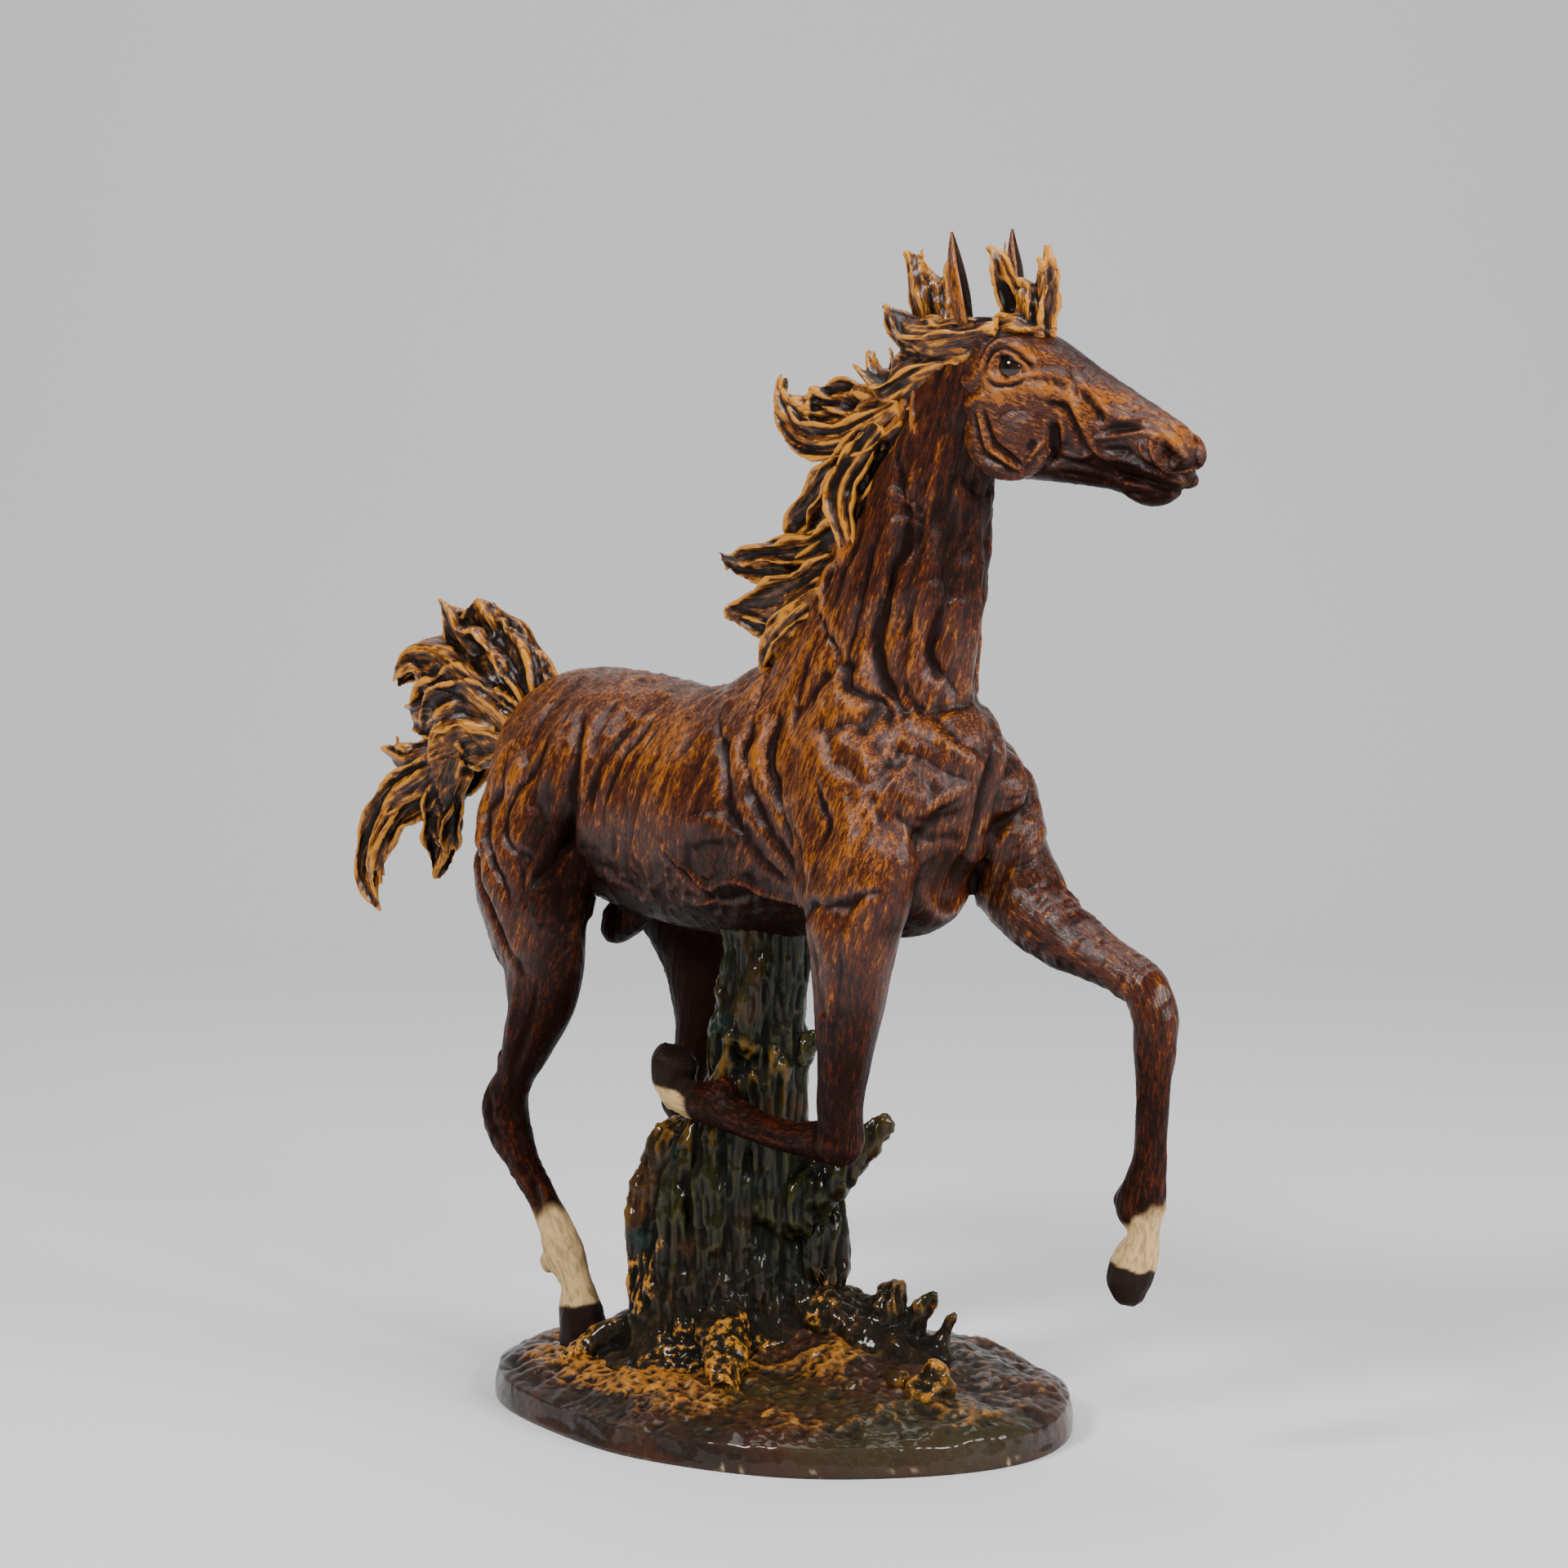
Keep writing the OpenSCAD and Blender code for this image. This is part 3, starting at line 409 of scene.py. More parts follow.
def mesh_object(name, points, quads, ends=None, scale=MM, values=None, normals=None):
    """Writes points, quads and triangles into a new object, with smooth shading and point values."""
    ends = np.zeros((0, 3), np.int64) if ends is None else ends
    mesh = bpy.data.meshes.new(name)
    loops = np.concatenate([quads.ravel(), ends.ravel()]).astype(np.int32)
    starts = np.concatenate([np.arange(len(quads)) * 4, len(quads) * 4 + np.arange(len(ends)) * 3])
    mesh.vertices.add(len(points))
    mesh.vertices.foreach_set("co", np.ascontiguousarray(points * scale, np.float32).ravel())
    mesh.loops.add(len(loops))
    mesh.loops.foreach_set("vertex_index", loops)
    mesh.polygons.add(len(starts))
    mesh.polygons.foreach_set("loop_start", starts.astype(np.int32))
    mesh.update(calc_edges=True)
    mesh.shade_smooth()
    for key, value in (values or {}).items():
        single = value.ndim == 1
        layer = mesh.attributes.new(key, "FLOAT" if single else "FLOAT_VECTOR", "POINT")
        flat = np.ascontiguousarray(value, np.float32).ravel()
        layer.data.foreach_set("value" if single else "vector", flat)
    if normals is not None:
        mesh.normals_split_custom_set_from_vertices(normals)
    obj = bpy.data.objects.new(name, mesh)
    bpy.context.scene.collection.objects.link(obj)
    return obj


def point_values(relief, grain, ochre_and_shade, sock=0.0, hoof=0.0):
    """What the paints read at every point; a single number stands for all points."""
    whole = lambda v: v + np.zeros(len(relief))
    return {"relief": relief, "grain": grain, "ochre_and_shade": whole(ochre_and_shade), "sock": whole(sock), "hoof": whole(hoof)}


def parted(skin, labels, names, values):
    """Parts a skin into one object per label; each opening is closed by a fan to its own middle."""
    normals = skin.normals()
    made = {}
    for label, name in names.items():
        quads = skin.quads[labels == label]
        if not len(quads):
            raise ValueError("no faces for " + name)
        used, local = np.unique(quads, return_inverse=True)
        local = local.reshape(-1, 4)
        size = len(used)
        tail, head = local.ravel(), np.roll(local, -1, axis=1).ravel()
        open_edge = ~np.isin(tail * size + head, head * size + tail)
        tail, head = tail[open_edge], head[open_edge]
        points, extra, ends = skin.points[used], [], []
        group = np.arange(size)
        while True:
            lower = np.minimum(group[tail], group[head])
            before = group.copy()
            np.minimum.at(group, tail, lower)
            np.minimum.at(group, head, lower)
            if (group == before).all():
                break
        for g in np.unique(group[tail]):
            mine = group[tail] == g
            extra.append(points[tail[mine]].mean(0))
            ends.append(np.stack([head[mine], tail[mine], np.full(mine.sum(), size + len(extra) - 1)], -1))
        if extra:
            points = np.vstack([points, extra])
            ends = np.vstack(ends)
        pad = lambda v: np.concatenate([v[used], np.zeros((len(extra),) + v.shape[1:])])
        made[name] = mesh_object(name, points, local, ends if extra else None,
                                 values={k: pad(v) for k, v in values.items()},
                                 normals=np.vstack([normals[used], np.tile([0, 0, 1.0], (len(extra), 1))]))
    return made


def finish_piece(obj, material, slot, *nodes):
    obj.data.materials.clear()
    obj.data.materials.append(material)
    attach(obj, BODY)
    if nodes:
        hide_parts(*nodes)
    return obj


def finish_parts(skin, values, pieces, material, labels=None):
    """Parts a skin and finishes its pieces, each (name, material slot, casting), in the order of labels."""
    labels = np.zeros(len(skin.quads), int) if labels is None else labels
    made = parted(skin, labels, {k: piece[0] for k, piece in enumerate(pieces)}, values)
    for name, slot, node in pieces:
        finish_piece(made[name], material, slot, node)


def limb_grain(points, rows, side=ACROSS):
    """Each point as (around, around, along) beside the nearest point of a limb's middle line."""
    fine = smooth_rows(rows, 6)
    ahead, s, f = section_frames(fine, side)
    middle = fine[:, :3]
    along = np.concatenate([[0], np.cumsum(np.linalg.norm(np.diff(middle, axis=0), axis=1))])
    best = np.argmin(((points[:, None] - middle[None]) ** 2).sum(-1), axis=1)
    d = points - middle[best]
    return np.stack([(d * s[best]).sum(1), (d * f[best]).sum(1), along[best] + (d * ahead[best]).sum(1)], -1)


# ---------------------------------------------------------------- strokes of the horse

# Grooves and ridges of the flank, seen from the right: (width, height, path in x and z)
FLANK = [
    (2.8, -4.4, [(-66, 211), (-66, 200), (-67, 188), (-70, 178), (-75, 168), (-80, 160)]),
    (1.8, 1.3, [(-61, 210), (-60, 198), (-61, 186), (-64, 175)]),
    (5.0, 1.5, [(-73, 205), (-73, 190), (-77, 178)]),
    (2.2, -2.3, [(-97, 200), (-99, 189), (-104, 181), (-102, 173), (-96, 165), (-89, 156)]),
    (2.0, -2.2, [(-78, 208), (-82, 197), (-91, 187), (-93, 180), (-90, 173), (-82, 168)]),
    (4.5, 1.3, [(-88, 200), (-94, 190)]),
    (1.8, -1.8, [(-110, 196), (-114, 186), (-113, 175), (-107, 163), (-100, 152), (-92, 142)]),
    (2.4, 0.9, [(-107, 190), (-108, 176), (-101, 163)]),
    (1.3, -0.9, [(-88, 170), (-84, 162), (-82, 154)]),
    (3.5, 1.5, [(-78, 158), (-77, 148)]),
    (1.2, -1.0, [(-73, 160), (-72, 148), (-74, 138)]),
    (1.4, -1.0, [(-96, 146), (-90, 138), (-84, 131)]),
    (5.5, 1.6, [(-62, 214)]),
    (2.0, -0.9, [(-54, 219), (-57, 213), (-58, 203)]),
]
# Folds between the ribs and behind the shoulder, and the vein under the belly
BARREL = [
    (1.6, -0.8, [(-43, 217), (-50, 206), (-55, 195), (-56, 184)]),
    (1.6, -0.8, [(-37, 217), (-44, 205), (-50, 192), (-52, 180)]),
    (1.6, -0.7, [(-31, 216), (-38, 204), (-44, 190)]),
    (1.6, -0.5, [(-24, 214), (-30, 202), (-36, 188), (-38, 176)]),
    (1.6, -0.5, [(-16, 212), (-22, 199), (-27, 186)]),
    (2.0, -1.8, [(-6, 217), (0, 209), (4, 201), (6, 192), (11, 184), (18, 176), (24, 170)]),
    (2.4, 1.2, [(3, 214), (8, 205), (11, 196), (15, 188), (22, 180)]),
    (1.8, -1.8, [(9, 219), (10, 209), (14, 199), (19, 189), (26, 180), (29, 172)]),
    (2.2, 1.1, [(15, 217), (16, 206), (21, 196), (27, 187)]),
    (1.8, -1.9, [(20, 222), (20, 211), (22, 201), (27, 192), (30, 183), (33, 175)]),
    (9.0, 1.7, [(-3, 190), (-2, 180)]),
    (1.3, 1.5, [(-26, 180), (-21, 174), (-16, 172), (-10, 168), (-4, 167), (4, 169), (12, 167), (22, 165),
                (32, 164)]),
    (1.6, -1.2, [(-24, 176), (-17, 169), (-9, 164.5), (-2, 163.5), (6, 165)]),
    (1.1, 0.9, [(-24, 162), (-12, 161), (-3, 165)]),
    (2.0, -0.6, [(-60, 168), (-40, 160), (-24, 157)]),
]
# Shoulder, arm and elbow
SHOULDER = [
    (2.6, 1.5, [(26, 224), (27, 212), (29, 200), (31, 190)]),
    (1.5, -1.6, [(31, 198), (33, 188), (37, 180), (39, 172), (36, 166)]),
    (3.2, 1.6, [(37, 196), (39, 186), (43, 176)]),
    (1.9, -1.7, [(43, 204), (47, 196), (49, 189), (48, 182)]),
    (1.3, 0.9, [(26, 219), (31, 214), (37, 212)]),
    (2.0, -1.0, [(40, 223), (46, 213), (54, 208), (62, 203)]),
    (4.0, 1.3, [(52, 216), (60, 210), (66, 206)]),
    (1.9, -1.0, [(62, 201), (68, 194), (74, 188), (80, 184)]),
    (4.0, 1.4, [(55, 200), (58, 188), (58, 178)]),
    (1.2, 0.8, [(68, 188), (64, 181), (60, 172), (54, 168)]),
    (1.9, -2.0, [(40, 163), (46, 166.5), (54, 167), (62, 169), (70, 174)]),
    (2.2, -1.5, [(30, 172), (35, 163), (38, 156)]),
    (1.3, -1.1, [(45, 160), (48, 150), (50, 140), (50, 128)]),
    (1.3, -0.9, [(59, 160), (58, 148), (55, 136), (53, 124)]),
    (2.2, 0.9, [(53, 158), (54, 146), (52, 134)]),
    (1.2, 0.6, [(46, 132), (52, 133), (58, 134)]),
    (1.0, -0.8, [(47, 118), (47.5, 108), (50, 100)]),
]
# Long tendons, hollows and veins of the neck
NECK_MARKS = [
    (2.0, 1.7, [(77, 304), (74, 297), (71.5, 289), (71.5, 281), (72, 272), (70, 260), (67.5, 247),
                (65, 237), (68, 228), (73, 218)]),
    (2.1, -2.1, [(77, 292), (76, 282), (77, 274), (76, 265), (74.5, 256), (71, 247),
                 (71, 238), (77, 226), (80, 219)]),
    (2.3, -2.0, [(59.5, 300), (62.5, 291), (64, 281), (63, 271), (60, 262), (56.5, 253),
                 (55, 245), (57, 237), (60, 228), (66, 220)]),
    (2.2, 1.2, [(67, 296), (67, 284), (66.5, 270), (62, 254), (60, 240)]),
    (1.9, -1.7, [(52, 272), (50, 258), (47, 245), (46, 238), (50, 231), (57, 225), (63, 218)]),
    (3.0, 1.1, [(57, 274), (55, 262), (51, 248)]),
    (1.0, 1.1, [(56, 288), (62, 285.5), (66, 283), (70, 280)]),
    (1.0, 0.9, [(57, 275), (62, 278), (67, 278), (71, 277)]),
    (1.7, -1.6, [(81, 300), (79.5, 292), (84, 285), (88, 276), (90, 270)]),
    (1.0, 0.7, [(84, 272), (87, 263), (88, 252)]),
    (2.2, -1.4, [(31, 250), (38, 244), (42, 239), (46, 233), (53, 228)]),
    (2.0, -1.2, [(22, 254), (23, 243), (21, 231)]),
    (1.8, 0.9, [(15, 246), (13, 234), (14, 222)]),
    (1.6, -1.0, [(9, 240), (8, 230), (10, 220)]),
    (1.8, -1.0, [(30, 238), (28, 228), (28, 217)]),
    (1.6, 0.8, [(36, 240), (36, 230), (40, 222)]),
]
# Strands of the mane that lie along the neck's upper edge
MANE_EDGE = [
    (1.3, 2.2, [(60, 322), (58, 309), (49, 302), (37, 296.5), (30, 288.5), (30.5, 282), (35.5, 276),
                (38.5, 268), (32, 264), (30.5, 258.5), (33, 251)]),
    (1.0, 1.6, [(50, 302), (42, 295), (39.5, 290), (40.5, 282), (40.5, 276)]),
    (1.0, 1.5, [(62.5, 321), (63.5, 313), (66.5, 305)]),
    (1.3, 1.8, [(16, 258), (15, 254), (11, 250), (5, 248), (3, 240), (2, 232)]),
    (1.2, 1.8, [(86, 328), (80, 328.5), (74, 330.5), (69, 327), (62, 323)]),
    (2.2, -1.8, [(64, 318), (61, 309), (54, 301), (46, 293), (44, 284), (44, 272), (40, 262), (37, 252)]),
]
# The breast seen from the front: (width, height, path in y and z)
BREAST = [
    (2.4, -3.0, [(6, 218), (3.5, 211), (2, 205), (1, 198), (1, 190), (0.5, 182), (0, 172)]),
    (2.2, -2.0, [(-21, 214), (-15, 208), (-9.5, 205), (-3, 203.5)]),
    (2.0, 1.6, [(-19, 240), (-17, 229), (-12, 217), (-7, 211), (-2, 208)]),
    (2.2, -1.7, [(-15, 236), (-12, 226), (-7, 217), (-1, 212)]),
    (6.0, 2.0, [(-15, 201), (-13, 198)]),
    (2.2, -1.1, [(-24, 194), (-17, 192.5), (-11, 193.5), (-7, 197)]),
    (6.0, 1.8, [(-19, 183), (-16, 178)]),
    (6.5, 2.2, [(14, 205), (16, 199)]),
    (2.4, -1.4, [(8, 188.5), (15, 190), (19.5, 193.5), (28, 197.5)]),
    (6.0, 2.0, [(19, 185), (22, 180)]),
    (2.0, -0.7, [(12, 203), (11, 197), (14, 193)]),
    (2.4, -1.0, [(6, 178), (12, 172), (20, 170)]),
    (2.0, 1.1, [(9, 216), (7, 208), (9, 200)]),
]
# Tendons and hollows of the legs, by the side they are seen from: (width, height, path in x and z)
LEG_MARKS = {
    "right": [
        (1.6, -1.4, [(-100, 138), (-98, 124), (-101, 111), (-104, 99)]),
        (1.4, -1.2, [(-80, 132), (-84, 118), (-91, 105), (-97, 96)]),
        (2.2, 0.9, [(-88, 134), (-91, 120), (-96, 106)]),
        (1.6, -1.1, [(-106, 92), (-105, 84), (-100, 76)]),
        (2.2, 1.2, [(-99, 87), (-98, 81)]),
        (1.2, -0.8, [(-93, 70), (-85, 60), (-78, 50)]),
        (1.1, -0.9, [(-98, 66), (-90, 57), (-83, 47)]),
        (1.1, -0.8, [(37, 95.5), (22, 93.5), (6, 95), (-4, 97)]),
        (2.4, 0.9, [(48, 97)]),
        (1.0, -0.8, [(44, 104), (47, 99), (53, 97)]),
    ],
    "left": [
        (1.6, -1.4, [(-68, 138), (-67, 124), (-69, 110), (-70, 98)]),
        (1.4, -1.2, [(-50, 132), (-50, 118), (-56, 105), (-60, 96)]),
        (2.2, 0.9, [(-58, 134), (-59, 120), (-62, 106)]),
        (1.6, -1.1, [(-69, 92), (-68, 84), (-65, 76)]),
        (1.1, -0.8, [(-58, 70), (-55, 58), (-53, 48)]),
        (1.5, -1.2, [(84, 170), (96, 163), (108, 157), (118, 153)]),
        (1.3, -1.0, [(86, 158), (98, 152), (110, 147.5)]),
        (1.2, -0.8, [(128.5, 126), (128, 110), (127, 94)]),
        (2.2, 1.0, [(125, 143), (127, 136)]),
        (1.2, -1.0, [(119, 140), (123, 133), (124, 126)]),
    ],
}


def softer(marks, share):
    """The same marks worked less deep."""
    return [(width, height * share, path) for width, height, path in marks]


def body_parts():
    """The horse's masses before carving: lofted sections with muscles laid on as ellipsoids."""
    parts = [tube(TORSO, sides=48), tube(NECK, sides=40), tube(SHEATH, sides=20)]
    parts += [tube(rows, sides=28) for rows in (HIND_RIGHT, HIND_LEFT, FORE_RIGHT, FOLDED_CANNON, FORE_LEFT)]
    for y in (-1, 1):
        shift = 0 if y < 0 else 14
        parts += [
            ellipsoid((-92, y * 17, 186), (22, 13, 24)),
            ellipsoid((-62, y * 16, 212), (7, 7, 6)),
            ellipsoid((-100 + shift * 0.3, y * 18, 170), (14, 12, 22), tilted(-10)),
            ellipsoid((38, y * 17, 214), (13, 9, 26), tilted(30)),
            ellipsoid((-4, y * 15, 186), (30, 15, 26)),
        ]
    parts += [
        ellipsoid((64, -16, 198), (13, 11, 13)), ellipsoid((69, 15, 200), (13, 12, 13)),
        ellipsoid((58, -19, 182), (14, 11, 13)), ellipsoid((70, 22, 186), (13, 12, 13)),
        ellipsoid((40, -22, 172), (11, 9, 12), tilted(30)),
        ellipsoid((-100, -22, 98), (5, 5.5, 9), tilted(-30)),
        ellipsoid((-107, -22, 84), (4.5, 4, 6.5), tilted(20)),
        ellipsoid((-68, 22, 98), (5, 5.5, 9)), ellipsoid((-72, 22, 87), (4.5, 4, 6.5)),
        ellipsoid((-83, -22, 39), (3.2, 3.5, 4)), ellipsoid((-60.5, 25.5, 37), (3.2, 3.5, 4)),
        ellipsoid((116.5, 24, 81), (3, 3.5, 4)), ellipsoid((-7, -18.8, 104.5), (4, 3.5, 3)),
    ]
    return parts


def sculpt_body(voxel):
    skin = fused(body_parts(), voxel)
    skin.relax(5)
    low, high = np.array([-130, -60, 100]), np.array([100, 60, 270])
    for view in ("right", "left"):
        strokes(skin, view, FLANK + BARREL, (low, high))
        strokes(skin, view, softer(SHOULDER if view == "right" else SHOULDER[:10], 0.7), (low, high))
        strokes(skin, view, NECK_MARKS, (np.array([0, -60, 200]), np.array([110, 60, 330])))
        strokes(skin, view, LEG_MARKS[view])
    strokes(skin, "front", softer(BREAST, 0.6), (np.array([50, -60, 150]), np.array([110, 60, 250])))
    strokes(skin, "right", MANE_EDGE, (np.array([0, -60, 225]), np.array([110, 60, 340])), wobble=0.5)
    skin.relax(1)
    p = skin.points
    high = ease(p[:, 2], 140, 172)
    neck = ease(p[:, 2], 222, 245)
    fold = np.stack([p[:, 0] - 0.35 * (p[:, 2] - 190), p[:, 1], p[:, 2] * 0.22], -1)
    skin.push((0.40 * high + 0.16) * chased(fold, 7.5, 5)
              + (0.20 + 0.16 * neck) * chased(fold * [1, 1, 0.6], 2.8, 6)
              + 0.45 * noise(p, 12.0, 9) * high)
    return skin


def near_row(points, rows, i):
    """True on the far side of the cut at row i of a limb, within reach of that limb."""
    rows = as_array(rows)
    way = unit(rows[min(i + 1, len(rows) - 1), :3] - rows[i - 1, :3])
    beyond = (points - rows[i, :3]) @ way > 0
    tail = smooth_rows(rows[i:], 4)
    d = np.sqrt(((points[:, None] - tail[None, :, :3]) ** 2).sum(-1))
    return beyond & (d < tail[None, :, 3:].max(-1) * 1.35 + 3).any(1)


def body_labels(skin):
    """0 torso, 1 neck, 2 to 5 the legs."""
    middle = skin.points[skin.quads].mean(1)
    labels = np.zeros(len(middle), int)
    limbs = [(NECK, NECK_JOINT), (HIND_RIGHT, HIND_JOINT), (HIND_LEFT, HIND_JOINT),
             (FORE_RIGHT, FORE_RIGHT_JOINT), (FORE_LEFT, FORE_LEFT_JOINT)]
    for k, (rows, i) in enumerate(limbs):
        labels[near_row(middle, rows, i)] = k + 1
    folded = smooth_rows(FOLDED_CANNON, 4)[:, :3]
    d = np.sqrt(((middle[:, None] - folded[None]) ** 2).sum(-1)).min(1)
    labels[(d < 14) & (middle[:, 2] < 125)] = 4
    return labels


# Lighter and darker parts of the coat: (how much lighter, x, z, half length, half height)
COAT_SPOTS = (
    (0.25, -30, 200, 34, 22), (0.25, -100, 195, 22, 26), (0.18, 40, 205, 24, 24), (0.20, 60, 175, 14, 14),
    (0.45, -88, 140, 12, 12), (0.25, 22, 232, 18, 16), (-0.50, -4, 180, 22, 18), (-0.75, -72, 168, 11, 32),
)


def body_values(skin):
    """Relief, grain direction and paint shares for every point of the body."""
    p, n = skin.points, skin.normals()
    relief = 0.62 * skin.relief(30, 1.3) + 0.38 * skin.relief(6, 0.28)
    grain = np.stack([p[:, 0] - 0.35 * (p[:, 2] - 190), p[:, 1], p[:, 2]], -1)
    for rows, i, box in ((HIND_RIGHT, HIND_JOINT, (p[:, 1] < 0) & (p[:, 2] < 133) & (p[:, 0] < -40)),
                         (HIND_LEFT, HIND_JOINT, (p[:, 1] > 0) & (p[:, 2] < 133) & (p[:, 0] < -30)),
                         (FORE_LEFT, FORE_LEFT_JOINT, (p[:, 0] > 81) & (p[:, 2] < 176)),
                         (FORE_RIGHT, FORE_RIGHT_JOINT, (p[:, 1] < 0) & (p[:, 2] < 150) & (p[:, 0] > 42)),
                         (FOLDED_CANNON, 0, (p[:, 1] < 0) & (p[:, 2] < 125)
                          & (p[:, 0] <= 42) & (p[:, 0] > -45))):
        aside, ahead, along = limb_grain(p[box], rows).T
        x, y, z = rows[i][:3]
        start = limb_grain(as_array([rows[i][:3]]), rows)[0, 2]
        grain[box] = np.stack([x - 0.35 * (z - 190) + ahead, y + aside, z - (along - start)], -1)
    high = ease(p[:, 2], 150, 200)
    spot = lambda x, z, rx, rz: np.exp(-(((p[:, 0] - x) / rx) ** 2 + ((p[:, 2] - z) / rz) ** 2))
    # The light-paint share, with painted shade taken off where the skin faces down
    ochre_and_shade = 0.20 + 0.26 * high - 0.30 * ease(-n[:, 2], 0.1, 0.7)
    for share, *where in COAT_SPOTS:
        ochre_and_shade += share * spot(*where)
    ochre_and_shade -= 0.40 * ease(p[:, 2], 242, 262) * ease(p[:, 0], 40, 50)
    ochre_and_shade -= 0.28 * ease(n[:, 0], 0.3, 0.8) * ease(p[:, 0], 60, 75) * ease(p[:, 2], 150, 160)
    ochre_and_shade -= 0.30 * ease(138 - p[:, 2], -14, 26)
    # Painted shade: the far (left) side of the horse below the belly is darkened
    ochre_and_shade -= 0.70 * ease(p[:, 1], 0, 14) * ease(150 - p[:, 2], -8, 8) * (p[:, 0] < 60)
    # Painted shade under the belly and between the hind thighs
    ochre_and_shade -= (0.5 * ease(-n[:, 2], 0.3, 0.9) * ease(p[:, 2], 125, 145)
             + 0.5 * spot(-76, 145, 8, 8) * (np.abs(p[:, 1]) < 9))
    ochre_and_shade -= 0.22 * ease(150 - p[:, 2], 0, 20)
    ochre_and_shade -= 0.3 * ease(n[:, 0], 0.2, 0.8) * ease(130 - p[:, 2], 0, 20) * (p[:, 0] < 0)
    edge_of_mane = [path_distance(p[:, [0, 2]], curved(path))[0]
                    for _, height, path in MANE_EDGE if height > 0]
    ochre_and_shade += 0.9 * np.exp(-(np.min(edge_of_mane, axis=0) / 1.6) ** 2) * ease(p[:, 2], 225, 235) * (p[:, 1] < 0)
    sock = np.zeros(len(p))
    hoof = np.zeros(len(p))
    edge = 2.2 * noise(p * [1, 1, 0.4], 3.0, 31)
    right = (p[:, 1] < 0) & (p[:, 0] < -40)
    slant = p[:, 2] - 0.45 * (p[:, 0] + 76)
    sock[right] = ease(58 + edge[right] - slant[right], -2.5, 2.5)
    hoof[right] = ease(27.5 + 0.3 * edge[right] - p[right, 2] + 0.15 * (p[right, 0] + 68), -0.6, 0.6)
    left = (p[:, 1] > 5) & (p[:, 0] < -20)
    hoof[left] = ease(26.5 + 0.3 * edge[left] - p[left, 2], -0.6, 0.6)
    ahead = p[:, 0] > 105
    sock[ahead] = ease(78 + 1.4 * edge[ahead] + 0.6 * (p[ahead, 0] - 126) - p[ahead, 2], -2, 2)
    hoof[ahead] = ease(63 + 0.3 * edge[ahead] - 0.28 * (p[ahead, 0] - 121) - p[ahead, 2], -0.6, 0.6)
    folded = (p[:, 1] < 0) & (p[:, 0] < -4) & (p[:, 2] > 80) & (p[:, 2] < 125) & (p[:, 0] > -48)
    sock[folded] = ease(edge[folded] - (p[folded, 0] + 20), -2, 2)
    hoof[folded] = ease(p[folded, 2] - 102.5 + 0.2 * (p[folded, 0] + 30) + 0.3 * edge[folded], -0.6, 0.6)
    hoof[folded] *= p[folded, 0] < -17
    return point_values(relief, grain, np.clip(ochre_and_shade, -0.8, 1), sock * (1 - hoof), hoof)


# ---------------------------------------------------------------- head

EYE_SPOT = np.array([16.8, 323.8])
